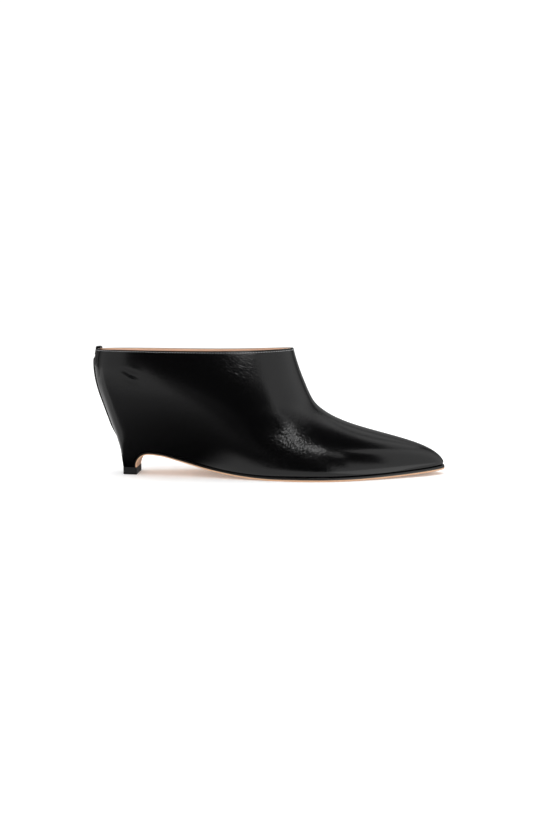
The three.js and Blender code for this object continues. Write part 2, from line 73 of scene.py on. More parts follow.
Thing = bpy.types.Object
Tree = bpy.types.NodeTree


class Slot(Enum):
    """The record's material slots."""

    UPPER = "upper_leather"
    SOLE = "sole_leather"
    WEDGE = "wedge_core"
    INSOLE = "insole_leather"
    LIFT = "lift_rubber"


class Side(Enum):
    """The shoe's two sides, by their sign along Y."""

    OUTER = -1
    INNER = 1


# Shared helpers


def linear(colour: str) -> tuple[float, ...]:
    """Turns an sRGB hex colour, as #rrggbb, into linear red, green, blue and alpha."""
    parts = [int(colour[i : i + 2], 16) / 255 for i in (1, 3, 5)]
    return (*(c / 12.92 if c <= 0.04045 else ((c + 0.055) / 1.055) ** 2.4 for c in parts), 1.0)


def smooth(t: Array | float) -> Array:
    """Eases from 0 to 1 as t does, and holds both ends."""
    c = np.clip(t, 0, 1)
    return c * c * (3 - 2 * c)


def crowded(count: int, ramp: float, both: bool = True) -> Array:
    """Shares from 0 to 1 that lie closer at the ends.

    Args:
        count: How many steps to divide into.
        ramp: The share of the steps that crowd at one end.
        both: Whether the end at 1 is crowded as well as the one at 0.

    Returns:
        The shares, one more than count.
    """
    t = np.linspace(0, 1, count + 1)
    run = np.where(t < ramp, t * t / (2 * ramp), t - ramp / 2)
    if both:
        late = t > 1 - ramp
        run = np.where(late, 1 - ramp - (1 - t) ** 2 / (2 * ramp), run)
    return run / run[-1]


def add_node(tree: Tree, kind: str, inputs: dict | None = None, **properties: object) -> bpy.types.Node:
    """Adds a node.

    Args:
        tree: The tree that gets the node.
        kind: The node's type.
        inputs: A value, or the output socket that feeds it, for each input by name or number.
        properties: The node's own properties.

    Returns:
        The new node.
    """
    node = tree.nodes.new(kind)
    for name, value in properties.items():
        setattr(node, name, value)
    for name, value in (inputs or {}).items():
        if isinstance(value, Socket):
            tree.links.new(value, node.inputs[name])
        else:
            node.inputs[name].default_value = value
    return node


def maths(tree: Tree, operation: str, *inputs: float | Socket) -> Socket:
    """Adds a math node with its inputs in their order and gives its result."""
    return add_node(tree, "ShaderNodeMath", dict(enumerate(inputs)), operation=operation).outputs[0]


def noise(tree: Tree, place: Socket, size: float, detail: float, rough: float, waver: float = 0.0) -> Socket:
    """Adds a noise pattern with features of about one size in millimetres and gives its value."""
    scale = {"Scale": 1 / (size * MM), "Detail": detail, "Roughness": rough, "Distortion": waver}
    return add_node(tree, "ShaderNodeTexNoise", {"Vector": place, **scale}).outputs["Fac"]


def bumped(tree: Tree, height: Socket, metres: float) -> Socket:
    """Adds a bump and gives its normal: the height times a distance in metres."""
    inputs = {"Strength": 1.0, "Distance": metres, "Height": height}
    return add_node(tree, "ShaderNodeBump", inputs).outputs["Normal"]


def blend(tree: Tree, share: Socket, low: float, high: float) -> Socket:
    """Adds a step from one value to another as a share goes from 0 to 1, and gives its result."""
    return add_node(tree, "ShaderNodeMapRange", {"Value": share, "To Min": low, "To Max": high}).outputs[0]


def new_material(name: str) -> tuple[Material, Tree]:
    """Makes an empty material.

    Args:
        name: What the material is.

    Returns:
        The material and its node tree.
    """
    material = bpy.data.materials.new(name)
    material.use_nodes = True
    material.node_tree.nodes.clear()
    return material, material.node_tree


def show(tree: Tree, surface: Socket) -> None:
    """Makes a shader the material's surface."""
    add_node(tree, "ShaderNodeOutputMaterial", {"Surface": surface})


def put(name: str, data: bpy.types.ID) -> Thing:
    """Puts a mesh, a lamp or a camera into the scene.

    Args:
        name: The object's name.
        data: What it shows.

    Returns:
        The object.
    """
    thing = bpy.data.objects.new(name, data)
    bpy.context.scene.collection.objects.link(thing)
    return thing


def ring_faces(rows: int, count: int, start: int = 0, capped: bool = False) -> list[tuple[int, ...]]:
    """Faces between rings of equally many points, each ring closed.

    Args:
        rows: How many rings there are.
        count: How many points a ring has.
        start: The number of the first point.
        capped: Whether a face closes the first ring and another the last.

    Returns:
        The faces, outward where rings run counterclockwise from above and rise.
    """
    end = start + (rows - 1) * count
    faces = [
        (r + i, r + (i + 1) % count, r + count + (i + 1) % count, r + count + i)
        for r in range(start, end, count)
        for i in range(count)
    ]
    if capped:
        faces += [tuple(range(start, start + count)), tuple(range(end + count - 1, end - 1, -1))]
    return faces


def make_piece(
    name: str,
    points: Array,
    faces: Sequence[Sequence[int]],
    materials: Sequence[Material],
    choice: Sequence[int] | None = None,
) -> Thing:
    """Makes a mesh object at the origin, with its doubles merged and its faces outward.

    Args:
        name: The piece's name.
        points: Its points in millimetres, one row each.
        faces: The faces' point numbers.
        materials: Its materials.
        choice: Each face's material number, or none for the first material.

    Returns:
        The object.
    """
    mesh = bpy.data.meshes.new(name)
    mesh.from_pydata((np.asarray(points, float).reshape(-1, 3) * MM).tolist(), [], [tuple(f) for f in faces])
    for material in materials:
        mesh.materials.append(material)
    if choice is not None:
        mesh.polygons.foreach_set("material_index", np.asarray(choice, np.int32))
    piece = put(name, mesh)
    work = bmesh.new()
    work.from_mesh(mesh)
    bmesh.ops.remove_doubles(work, verts=work.verts, dist=MERGE_MM * MM)
    bmesh.ops.dissolve_degenerate(work, edges=work.edges, dist=SLIVER_MM * MM)
    if work.calc_volume(signed=True) < 0:
        bmesh.ops.reverse_faces(work, faces=work.faces)
    work.to_mesh(mesh)
    work.free()
    mesh.update()
    mesh.polygons.foreach_set("use_smooth", np.ones(len(mesh.polygons), bool))
    mesh.set_sharp_from_angle(angle=math.radians(SHARP_OVER))
    return piece


def stacked(name: str, rings: Sequence[Array], finish: Material, capped: bool = True) -> Thing:
    """Makes a piece of rings in a row, either closed at both ends or run back to its first ring.

    Args:
        name: The piece's name.
        rings: The rings, each of as many points.
        finish: Its material.
        capped: Whether faces close its ends; otherwise the last ring joins the first.

    Returns:
        The object.
    """
    stack = np.array(rings if capped else [*rings, rings[0]])
    return make_piece(name, stack, ring_faces(*stack.shape[:2], capped=capped), [finish])


def settle(piece: bpy.types.Object, slot: Slot, *nodes: str) -> None:
    """Puts a finished piece on the shoe's body, in the place of its solids.

    Args:
        piece: The finished piece.
        slot: The slot that it takes its finish from; not used.
        nodes: The solids that it stands for.
    """
    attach(piece, "root")
    if nodes:
        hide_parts(*nodes)
    LOG.info("%s: %d faces", piece.name, len(piece.data.polygons))


# The last's lines and functions, as in the part's source


@dataclass(frozen=True)
class Spline:
    """A natural cubic spline through one column of a table."""

    at: Array
    value: Array
    bend: Array

    @classmethod
    def through(cls, at: Sequence[float], value: Sequence[float]) -> "Spline":
        """Fits the spline.

        Args:
            at: Where the values hold, rising.
            value: The values.

        Returns:
            The spline.
        """
        x, y = np.asarray(at, float), np.asarray(value, float)
        gap = np.diff(x)
        slope = np.diff(y) / gap
        system = np.eye(len(x))
        pull = np.zeros(len(x))
        for i in range(1, len(x) - 1):
            system[i, i - 1 : i + 2] = gap[i - 1], 2 * (gap[i - 1] + gap[i]), gap[i]
            pull[i] = 6 * (slope[i] - slope[i - 1])
        return cls(x, y, np.linalg.solve(system, pull))

    def __call__(self, at: Array | float) -> Array:
        """Works out the spline's value at one or many places.

        Args:
            at: The places.

        Returns:
            The values.
        """
        i = np.clip(np.searchsorted(self.at, at) - 1, 0, len(self.at) - 2)
        width = self.at[i + 1] - self.at[i]
        a = (self.at[i + 1] - at) / width
        b = 1 - a
        curve = ((a**3 - a) * self.bend[i] + (b**3 - b) * self.bend[i + 1]) * width**2
        return a * self.value[i] + b * self.value[i + 1] + curve / 6


@dataclass(frozen=True)
class Track:
    """A line in the side view, of straight and round stretches that go on from each other."""

    start: tuple[float, float]
    heading: float
    stretches: tuple[tuple[float, float], ...]

    def at(self, share: Array | float) -> tuple[Array, Array, Array, Array]:
        """Where the line is, and which way it runs, at a share of its length.

        Args:
            share: The share, from 0 to 1.

        Returns:
            X, Z, and the direction's cosine and sine.
        """
        length, turn = np.array(self.stretches).T
        ends = np.cumsum(length)
        before = self.heading + np.cumsum(turn) - turn
        chord = length * np.sinc(turn / 2 / np.pi)
        x = self.start[0] + np.concatenate([[0], np.cumsum(chord * np.cos(before + turn / 2))])
        z = self.start[1] + np.concatenate([[0], np.cumsum(chord * np.sin(before + turn / 2))])
        run = np.clip(share, 0, 1) * ends[-1]
        i = np.minimum(np.searchsorted(ends, run, side="right"), len(length) - 1)
        along = run - (ends[i] - length[i])
        turned = turn[i] * along / length[i]
        reach = along * np.sinc(turned / 2 / np.pi)
        middle = before[i] + turned / 2
        heading = before[i] + turned
        return x[i] + reach * np.cos(middle), z[i] + reach * np.sin(middle), np.cos(heading), np.sin(heading)


class Level(NamedTuple):
    """A level of the last, in shares of collar height, shoe length (its ends) and seat width (its rounds)."""

    rise: float
    back: float
    front: float
    back_round: float
    front_round: float
    spread: float


class Station(NamedTuple):
    """Half widths at one station: at the floor as shares of ball width, and above as shares of seat width."""

    along: float
    outer_foot: float
    inner_foot: float
    outer_top: float
    inner_top: float
    bow: float
    tuck: float


LEVELS = (
    Level(0.0, 0.0861, 0.9803, 1.5, 0.11, 0.7),
    Level(0.057, 0.0850, 0.9895, 1.4, 0.11, 0.7),
    Level(0.085, 0.0838, 0.9962, 1.2, 0.11, 0.7),
    Level(0.128, 0.0811, 0.9910, 0.95, 0.11, 0.69),
    Level(0.191, 0.0778, 0.9650, 0.75, 0.11, 0.67),
    Level(0.255, 0.0713, 0.9152, 0.62, 0.115, 0.635),
    Level(0.319, 0.0637, 0.8403, 0.53, 0.13, 0.59),
    Level(0.383, 0.0549, 0.7589, 0.49, 0.18, 0.565),
    Level(0.447, 0.0465, 0.6967, 0.47, 0.26, 0.54),
    Level(0.511, 0.0382, 0.6561, 0.46, 0.345, 0.48),
    Level(0.574, 0.0303, 0.6306, 0.45, 0.405, 0.37),
    Level(0.638, 0.0224, 0.6166, 0.45, 0.43, 0.255),
    Level(0.734, 0.0130, 0.6016, 0.44, 0.425, 0.13),
    Level(0.83, 0.0079, 0.5880, 0.44, 0.4, 0.065),
    Level(0.926, 0.0079, 0.5766, 0.43, 0.38, 0.035),
    Level(1.0, 0.0130, 0.5695, 0.42, 0.365, 0.02),
    Level(1.08, 0.0210, 0.5634, 0.42, 0.36, 0.02),
)

STATIONS = (
    Station(0.0, 0.09, 0.09, 0.46, 0.44, 0.09, 0.03),
    Station(0.113, 0.1, 0.1, 0.5, 0.475, 0.105, 0.03),
    Station(0.17, 0.13, 0.128, 0.52, 0.49, 0.115, 0.03),
    Station(0.226, 0.17, 0.166, 0.53, 0.5, 0.12, 0.03),
    Station(0.302, 0.24, 0.228, 0.537, 0.508, 0.112, 0.03),
    Station(0.396, 0.345, 0.307, 0.535, 0.508, 0.09, 0.035),
    Station(0.491, 0.438, 0.382, 0.52, 0.495, 0.065, 0.045),
    Station(0.585, 0.5, 0.465, 0.475, 0.46, 0.05, 0.055),
    Station(0.66, 0.512, 0.508, 0.42, 0.42, 0.045, 0.06),
    Station(0.736, 0.469, 0.483, 0.35, 0.37, 0.04, 0.06),
    Station(0.811, 0.387, 0.412, 0.275, 0.3, 0.03, 0.065),
    Station(0.887, 0.287, 0.315, 0.195, 0.22, 0.022, 0.07),
    Station(0.943, 0.206, 0.225, 0.14, 0.155, 0.015, 0.075),
    Station(1.0, 0.115, 0.125, 0.08, 0.08, 0.01, 0.08),
)


@dataclass
class Last:
    """The form that the shoe is built on, with the sole's and the footbed's lines in the side view."""

    shoe_length: float = 265.0
    ball_width: float = 80.0
    seat_width: float = 57.0
    collar_height: float = 94.0
    collar_dip: float = 1.0
    throat_rise: float = 0.9
    heel_height: float = 50.0
    heel_inset: float = 28.5
    toe_swing: float = 5.0
    swing_start: float = 0.5
    wall: float = 1.8
    clearance: float = 0.3
    lift_length: float = 10.2
    lift_height: float = 5.2
    sole_thickness: float = 3.1
    breast_share: float = 0.64  # the sole's thickness at the breast, as a share of its full one
    full_from: float = 0.5  # the share of the way to the toe where it is full
    breast_radius: float = 10.3
    crest_radius: float = 56.0
    waist_slope: float = math.radians(15.6)
    waist_radius: float = 230.0
    tread_length: float = 38.0
    toe_spring: float = 3.7
    toe_margin: float = 1.2
    side_margin: float = 0.7
    insole_thickness: float = 2.4
    seat_pitch: float = math.radians(3)
    seat_length: float = 44.0
    seat_radius: float = 60.0
    footbed_slope: float = math.radians(27)
    footbed_radius: float = 90.0
    tuck_height: float = 7.0
    turn_weight: float = 30.0
    toe_trim: float = 0.4  # how far short of the toe's end a lower edge turns into it
    least_toe_round: float = 0.8
    samples: int = 600
    level: dict[str, Spline] = field(init=False)
    station: dict[str, Spline] = field(init=False)
    bottom: Track = field(init=False)
    footbed: Track = field(init=False)
    sole_line: tuple[Array, Array] = field(init=False)

    def __post_init__(self) -> None:
        """Works out the splines and lines from the sizes."""
        level_columns, station_columns = zip(*LEVELS), zip(*STATIONS)
        rises, places = next(level_columns), next(station_columns)
        self.level = {k: Spline.through(rises, v) for k, v in zip(Level._fields[1:], level_columns)}
        self.station = {k: Spline.through(places, v) for k, v in zip(Station._fields[1:], station_columns)}
        self.sole_start = self.lift_height + self.clearance
        self.breast_x = self.lift_length / 2
        self.bottom = self._bottom_line()
        self.footbed = self._footbed_line()
        x, z = self.over_sole(np.linspace(0, 1, self.samples + 1), 1, 0)
        self.sole_line = (x, z)

    def place(self, along: Array | float) -> Array:
        """X at a share of the shoe's length from its rearmost point."""
        return along * self.shoe_length - self.heel_inset

    def along(self, x: Array | float) -> Array:
        """The share of the shoe's length at X."""
        return (x + self.heel_inset) / self.shoe_length

    def centre(self, x: Array | float) -> Array:
        """Y of the centre line, which turns at the toe."""
        t = np.maximum(0, (self.along(x) - self.swing_start) / (1 - self.swing_start))
        return self.toe_swing * t * t

    def reach(self, end: str, z: Array | float, inset: Array | float) -> tuple[Array, Array]:
        """Where the last begins or ends at a height.

        Args:
            end: Either back or front.
            z: The height.
            inset: How far inside the last's surface.

        Returns:
            X, and how much longer a step along X is than one square to the surface.
        """
        step = 0.5

        def at(height: Array | float) -> Array:
            """X of the surface itself at a height."""
            return self.place(self.level[end](height / self.collar_height))

        slope = (at(z + step) - at(z - step)) / (2 * step)
        lean = np.hypot(1, slope)
        sign = 1 if end == "back" else -1
        return at(z) + sign * inset * lean, lean

    def _bottom_line(self) -> Track:
        """Lays the underside of the sole, from the lift's front edge to the toe.

        Returns:
            The line.
        """
        toe_z = self.toe_spring + self.sole_thickness + self.clearance
        toe_end = float(self.reach("front", toe_z, -self.toe_margin)[0])
        slope, crest_x = self.waist_slope, self.breast_x + self.breast_radius
        radii = self.crest_radius + self.waist_radius
        drop = self.sole_start + self.breast_radius - radii * (1 - math.cos(slope))
        straight = drop / math.sin(slope)
        self.spring_x = crest_x + radii * math.sin(slope) + straight * math.cos(slope) + self.tread_length
        run = toe_end - self.spring_x
        self.spring_radius = (run * run + self.toe_spring**2) / (2 * self.toe_spring)
        self.spring_turn = math.asin(run / self.spring_radius)
        return Track(
            (self.breast_x, self.sole_start),
            math.pi / 2,
            (
                (self.breast_radius * math.pi / 2, -math.pi / 2),
                (self.crest_radius * slope, -slope),
                (straight, 0),
                (self.waist_radius * slope, slope),
                (self.tread_length, 0),
                (self.spring_radius * self.spring_turn, self.spring_turn),
            ),
        )

    def _footbed_line(self) -> Track:
        """Lays the upper side of the insole, from the back of the seat to the toe.

        Returns:
            The line.
        """
        start_x = float(self.reach("back", self.heel_height, self.wall + self.clearance)[0])
        pitch, slope = self.seat_pitch, self.footbed_slope
        level = self.sole_thickness + self.clearance + self.insole_thickness
        turn_x = start_x + self.seat_length
        turn_z = self.heel_height - self.seat_length * math.tan(pitch)
        slope_x = turn_x + self.seat_radius * (math.sin(slope) - math.sin(pitch))
        slope_z = turn_z - self.seat_radius * (math.cos(pitch) - math.cos(slope))
        straight = (slope_z - level - self.footbed_radius * (1 - math.cos(slope))) / math.sin(slope)
        ball_x = slope_x + straight * math.cos(slope) + self.footbed_radius * math.sin(slope)
        return Track(
            (start_x, self.heel_height),
            -pitch,
            (
                (self.seat_length / math.cos(pitch), 0),
                (self.seat_radius * (slope - pitch), pitch - slope),
                (straight, 0),
                (self.footbed_radius * slope, slope),
                (self.spring_x - ball_x, 0),
                ((self.spring_radius - level) * self.spring_turn, self.spring_turn),
            ),
        )

    def thickness(self, share: Array | float) -> Array:
        """The sole's thickness at a share of the way from breast to toe."""
        grown = self.breast_share + (1 - self.breast_share) * smooth(share / self.full_from)
        return self.sole_thickness * grown

    def over_sole(self, share: Array, thicknesses: float, extra: float) -> tuple[Array, Array]:
        """Points above the sole's underside, square to it.

        Args:
            share: Where along the sole, from breast to toe.
            thicknesses: How many of the sole's thicknesses up.
            extra: A length to add to that.

        Returns:
            X and Z.
        """
        x, z, cosine, sine = self.bottom.at(share)
        height = thicknesses * self.thickness(share) + extra
        return x - sine * height, z + cosine * height

    def sole_top(self, x: Array) -> Array:
        """The height of the sole's upper side at X."""
        return np.interp(x, *self.sole_line, left=self.sole_start)

    def half_width(self, x: Array, z: Array, side: Side, inset: Array | float) -> Array:
        """The last's half width, as the soft least of its side wall, its round back and its front.

        Args:
            x: Places along the shoe.
            z: Heights.
            side: Which side of the centre line.
            inset: How far inside the last's surface.

        Returns:
            The half widths, 0 beyond the last.
        """
        along, up = self.along(x), z / self.collar_height
        name = side.name.lower()
        foot = self.station[f"{name}_foot"](along) * self.ball_width
        top = self.station[f"{name}_top"](along) * self.seat_width
        bow = 4 * self.station["bow"](along) * self.seat_width * up * (1 - up)
        drawn = np.maximum(0, 1 - np.maximum(0, z - self.sole_top(x)) / self.tuck_height)
        wall = (foot + (top - foot) * up + bow) * (1 - self.station["tuck"](along) * drawn**3) - inset
        back_x, back_lean = self.reach("back", z, inset)
        front_x, front_lean = self.reach("front", z, inset)
        behind, ahead = np.maximum(1e-9, x - back_x), np.maximum(1e-9, front_x - x)
        back_radius = self.level["back_round"](up) * self.seat_width - inset / back_lean
        front_round = self.level["front_round"](up) * self.seat_width
        front_radius = np.maximum(self.least_toe_round, front_round - inset / front_lean)
        squares = (
            np.maximum(0.01, wall) ** 2,
            2 * back_radius * behind,
            2 * front_radius * ahead + (self.level["spread"](up) * ahead) ** 2,
        )
        return sum(square**-2.0 for square in squares) ** -0.25

    def collar(self, t: Array | float) -> Array:
        """The collar's height over its own length, from the back to the throat."""
        return self.collar_height - 27 / 4 * self.collar_dip * t * t * (1 - t) + self.throat_rise * t**3

    def lower_edge(self, inset: float, extra: float, seat: Array, sole: Array) -> tuple[Array, Array]:
        """The lower edge of a wall in the side view: along the lift, up the breast and along the sole.

        Args:
            inset: How far inside the last's surface.
            extra: How far above the sole.
            seat: Shares of the way along the lift.
            sole: Shares of the way along the sole.

        Returns:
            X and Z, trimmed to the last's toe.
        """
        corner_x, _ = self.over_sole(np.array([0.0]), 1, extra)
        start_z = self.sole_start + max(0.0, extra - self.clearance)
        start_x = float(self.reach("back", start_z, inset)[0])
        x, z = self.over_sole(sole, 1, extra)
        x = np.concatenate([start_x + (corner_x[0] - start_x) * seat[:-1], x])
        z = np.concatenate([np.full(len(seat) - 1, start_z), z])
        inside = np.nonzero(x < self.reach("front", z, inset)[0] - self.toe_trim)[0]
        kept = inside[-1]
        end_z = z[min(kept + 1, len(z) - 1)]
        end_x = float(self.reach("front", end_z, inset)[0])
        tail = len(x) - kept - 1
        t = np.sin(np.arange(1, tail + 1) / max(1, tail) * np.pi / 2)
        x[kept + 1 :] = x[kept] + (end_x - x[kept]) * t
        z[kept + 1 :] = z[kept] + (end_z - z[kept]) * t
        return x, z

    def profile(self, end: str, low: float, high: float, inset: float, shares: Array) -> tuple[Array, Array]:
        """The last's back or front line between two heights, with points closer where it turns.

        Args:
            end: Either back or front.
            low: The lower height.
            high: The upper height.
            inset: How far inside the last's surface.
            shares: Where along the line, from 0 to 1.

        Returns:
            X and Z.
        """
        z = np.linspace(low, high, self.samples + 1)
        x = self.reach(end, z, inset)[0]
        dx, dz = np.diff(x), np.diff(z)
        heading = np.arctan2(dz, dx)
        turned = np.abs(np.diff(heading, prepend=heading[0]))
        run = np.concatenate([[0], np.cumsum(np.hypot(dx, dz) + self.turn_weight * turned)])
        goal = shares * run[-1]
        return np.interp(goal, run, x), np.interp(goal, run, z)

    def wall_rows(
        self, inset: float, extra: float, drop: float, seat: Array, sole: Array, rises: Array
    ) -> Array:
        """Fills the side view from a lower edge to just under the collar.

        Args:
            inset: How far inside the last's surface.
            extra: How far above the sole the wall starts.
            drop: How far under the collar it ends.
            seat: Shares of the way along the lift.
            sole: Shares of the way along the sole.
            rises: Shares of the way up.

        Returns:
            Rows from low to high of points from back to front, as X, Z and the depth under the collar.
        """
        low_x, low_z = self.lower_edge(inset, extra, seat, sole)
        u = (low_x - low_x[0]) / (low_x[-1] - low_x[0])
        ends = self.collar(np.array([0.0, 1.0])) - drop
        back_x, back_z = self.profile("back", low_z[0], ends[0], inset, rises)
        front_x, front_z = self.profile("front", low_z[-1], ends[1], inset, rises)
        high_x, high_z = back_x[-1] + (front_x[-1] - back_x[-1]) * u, self.collar(u) - drop
        up = (back_z - back_z[0]) / (back_z[-1] - back_z[0])
        rise = up[:, None] + (rises - up)[:, None] * u

        def mix(low: Array, high: Array, back: Array, front: Array) -> Array:
            """Blends four edges into a patch.

            Args:
                low: The lower edge.
                high: The upper edge.
                back: The back edge.
                front: The front edge.

            Returns:
                The patch.
            """
            return (
                (1 - rise) * low
                + rise * high
                + (1 - u) * (back[:, None] - (1 - rise) * back[0] - rise * back[-1])
                + u * (front[:, None] - (1 - rise) * front[0] - rise * front[-1])
            )

        x, z = mix(low_x, high_x, back_x, front_x), mix(low_z, high_z, back_z, front_z)
        return np.stack([x, z, np.broadcast_to(self.collar(u), z.shape) - z], axis=-1)

    def rings(self, rows: Array, inset: float) -> Array:
        """Turns rows of the side view into closed rings round the last.

        Args:
            rows: Rows of points from back to front.
            inset: How far inside the last's surface.

        Returns:
            Rings of points, out along the outer side and back along the inner one.
        """
        x, z = rows[..., 0], rows[..., 1]
        sides = []
        for side in Side:
            half = self.half_width(x, z, side, inset)
            half[:, [0, -1]] = 0
            sides.append(np.stack([x, self.centre(x) + side.value * half, z], axis=-1))
        outer, inner = sides
        return np.concatenate([outer, inner[:, -2:0:-1]], axis=1)

    def edge_ring(
        self, inset: float, extra: float, drop: float, seat: Array, sole: Array, top: bool
    ) -> Array:
        """The highest ring of a wall, or its lowest.

        Args:
            inset: How far inside the last's surface.
            extra: How far above the sole the wall starts.
            drop: How far under the collar it ends.
            seat: Shares of the way along the lift.
            sole: Shares of the way along the sole.
            top: Whether the highest ring is asked for.

        Returns:
            The ring's points.
        """
        return self.rings(self.wall_rows(inset, extra, drop, seat, sole, ENDS), inset)[-1 if top else 0]


def normals_of(rings: Array) -> Array:
    """Normals of a stack of closed rings.

    Args:
        rings: Rings of points.

    Returns:
        A normal for each point, one long and outward.
    """
    along = np.roll(rings, -1, axis=1) - np.roll(rings, 1, axis=1)
    normal = np.cross(along, np.gradient(rings, axis=0))
    return normal / np.maximum(1e-12, np.linalg.norm(normal, axis=-1, keepdims=True))


# Finishes


@dataclass(frozen=True)
class PolishedCalf:
    """Black calf leather, wax-polished: clear reflections over a fine grain, wrinkled where it works."""

    name: str = "black_calf_wax_polished"
    colour: str = "#050506"
    roughness: float = 0.2
    specular: float = 0.35
    coat: float = 0.5
    coat_roughness: float = 0.06
    worked_roughness: float = 0.28
    worked_coat_roughness: float = 0.1
    ior: float = 1.5
    grain_mm: float = 0.9  # calf pores are 0.1 to 0.2 mm; drawn coarser so that they show
    grain_depth_mm: float = 0.03
    grain_detail: float = 2.0
    grain_rough: float = 0.6
    wrinkle_mm: float = 0.95  # the real ones are a third of that; drawn coarser so that they show
    wrinkle_stretch: float = 3.0
    wrinkle_detail: float = 0.5
    wrinkle_rough: float = 0.5
    wrinkle_waver: float = 0.3
    wrinkle_depth_mm: float = 0.3
    ball_angle: float = 55.0
    quarter_angle: float = -32.0

    def _wrinkles(self, tree: Tree, place: Socket, worked: Socket, angle: float) -> Socket:
        """Fine wrinkles that run one way, as deep as the leather has worked.

        Args:
            tree: The material's tree.
            place: The Object coordinates.
            worked: How much the leather has worked, from 0 to 1.
            angle: The way that they run, in degrees from level.

        Returns:
            The wrinkles' height in metres.
        """
        turn = {
            "Vector": place,
            "Rotation": (0.0, math.radians(-angle), 0.0),
            "Scale": (self.wrinkle_stretch, 1.0, 1.0),
        }
        turned = add_node(tree, "ShaderNodeMapping", turn, vector_type="TEXTURE").outputs["Vector"]
        folds = noise(
            tree, turned, self.wrinkle_mm, self.wrinkle_detail, self.wrinkle_rough, self.wrinkle_waver
        )
        return maths(tree, "MULTIPLY", maths(tree, "MULTIPLY", folds, self.wrinkle_depth_mm * MM), worked)

    def build(self) -> Material:
        """Makes the material, wrinkled and duller where the mesh's flex attributes are high.

        Returns:
            The material.
        """
        material, tree = new_material(self.name)
        place = add_node(tree, "ShaderNodeTexCoord").outputs["Object"]
        ball, quarter = (
            add_node(tree, "ShaderNodeAttribute", attribute_name=flex.name).outputs["Fac"] for flex in FLEXES
        )
        wrinkles = maths(
            tree,
            "ADD",
            self._wrinkles(tree, place, ball, self.ball_angle),
            self._wrinkles(tree, place, quarter, self.quarter_angle),
        )
        grain = noise(tree, place, self.grain_mm, self.grain_detail, self.grain_rough)
        normal = bumped(tree, maths(tree, "MULTIPLY_ADD", grain, self.grain_depth_mm * MM, wrinkles), 1.0)
        shader = {
            "Base Color": linear(self.colour),
            "IOR": self.ior,
            "Specular IOR Level": self.specular,
            "Coat Weight": self.coat,
            "Coat IOR": self.ior,
            "Roughness": blend(tree, ball, self.roughness, self.worked_roughness),
            "Coat Roughness": blend(tree, ball, self.coat_roughness, self.worked_coat_roughness),
            "Normal": normal,
            "Coat Normal": normal,
        }
        show(tree, add_node(tree, "ShaderNodeBsdfPrincipled", shader).outputs[0])
        return material


@dataclass(frozen=True)
class PlainFinish:
    """An even finish with a fine relief: its two colours, its gloss and how deep and wide its texture is."""

    name: str
    colour: str
    second_colour: str
    roughness: float
    grain_mm: float
    grain_depth_mm: float
    coat: float = 0.0
    coat_roughness: float = 0.2
    grain_detail: float = 3.0
    grain_rough: float = 0.6

    def build(self) -> Material:
        """Makes the material, mottled between its two colours.

        Returns:
            The material.
        """
        material, tree = new_material(self.name)
        place = add_node(tree, "ShaderNodeTexCoord").outputs["Object"]
        grain = noise(tree, place, self.grain_mm, self.grain_detail, self.grain_rough)
        mix = {0: grain, 6: linear(self.colour), 7: linear(self.second_colour)}
        shader = {
            "Base Color": add_node(tree, "ShaderNodeMix", mix, data_type="RGBA").outputs[2],
            "Normal": bumped(tree, grain, self.grain_depth_mm * MM),
            "Roughness": self.roughness,
            "Coat Weight": self.coat,
            "Coat Roughness": self.coat_roughness,
        }
        show(tree, add_node(tree, "ShaderNodeBsdfPrincipled", shader).outputs[0])
        return material


# Smooth kid lining, dyed nude: soft and matt, with a faint mottle
KID_LINING = PlainFinish("nude_kid_lining_dyed", "#dcb79c", "#e6c6ae", 0.55, 0.7, 0.02)
# Natural vegetable-tanned leather, rolled and trimmed: pale tan with a fibrous sheen
SOLE_LEATHER = PlainFinish("natural_sole_leather_rolled", "#d2a47f", "#dfb897", 0.42, 0.5, 0.02, 0.2)
# Black edge ink, painted and burnished: a dense satin black
EDGE_INK = PlainFinish("black_edge_ink_burnished", "#0a0a0a", "#101010", 0.3, 0.5, 0.01, 0.3, 0.15)
# Moulded black rubber: dull, with a dusty grain
LIFT_RUBBER = PlainFinish("black_rubber_moulded", "#1d1d1e", "#242425", 0.5, 0.4, 0.02)
# Bonded, waxed polyester thread with a soft shine, coloured light grey as a painted highlight, so the row
# reads as light beads on the black
THREAD_GREY_PAINTED_HIGHLIGHT = PlainFinish("grey_thread_painted_highlight", "#a4a4a6", "#b0b0b2", 0.28, 0.3, 0.02, 0.3, 0.1)
# Granulated cork, pressed: warm brown specks, hidden inside the upper
PRESSED_CORK = PlainFinish("cork_granulated_pressed", "#8a6238", "#c09462", 0.85, 1.6, 0.15)


# The upper


@dataclass(frozen=True)
class Flex:
    """A place where the leather works: its middle and reach, as shares of shoe length and collar height."""

    name: str
    along: float
    up: float
    wide: float
    high: float
    most: float
    least: float = 0.0

    def mark(self, mesh: bpy.types.Mesh, last: Last) -> None:
        """Writes how much the leather has worked, from 0 to 1, into an attribute of the mesh.

        Args:
            mesh: The upper's mesh.
            last: The last that the shares are of.
        """
        points = np.empty(len(mesh.vertices) * 3)
        mesh.vertices.foreach_get("co", points)
        x, _, z = points.reshape(-1, 3).T / MM
        along, up = last.along(x), z / last.collar_height
        worked = np.exp(-(((along - self.along) / self.wide) ** 2) - ((up - self.up) / self.high) ** 2)
        values = np.clip(self.least + self.most * worked, 0, 1).astype(np.float32)
        mesh.attributes.new(self.name, "FLOAT", "POINT").data.foreach_set("value", values)


FLEXES = (
    # over the ball, and under the collar
    Flex("flex_ball", 0.585, 0.3, 0.085, 0.17, 1.0, 0.06),
    Flex("flex_quarter", 0.41, 0.84, 0.075, 0.12, 0.36),
)


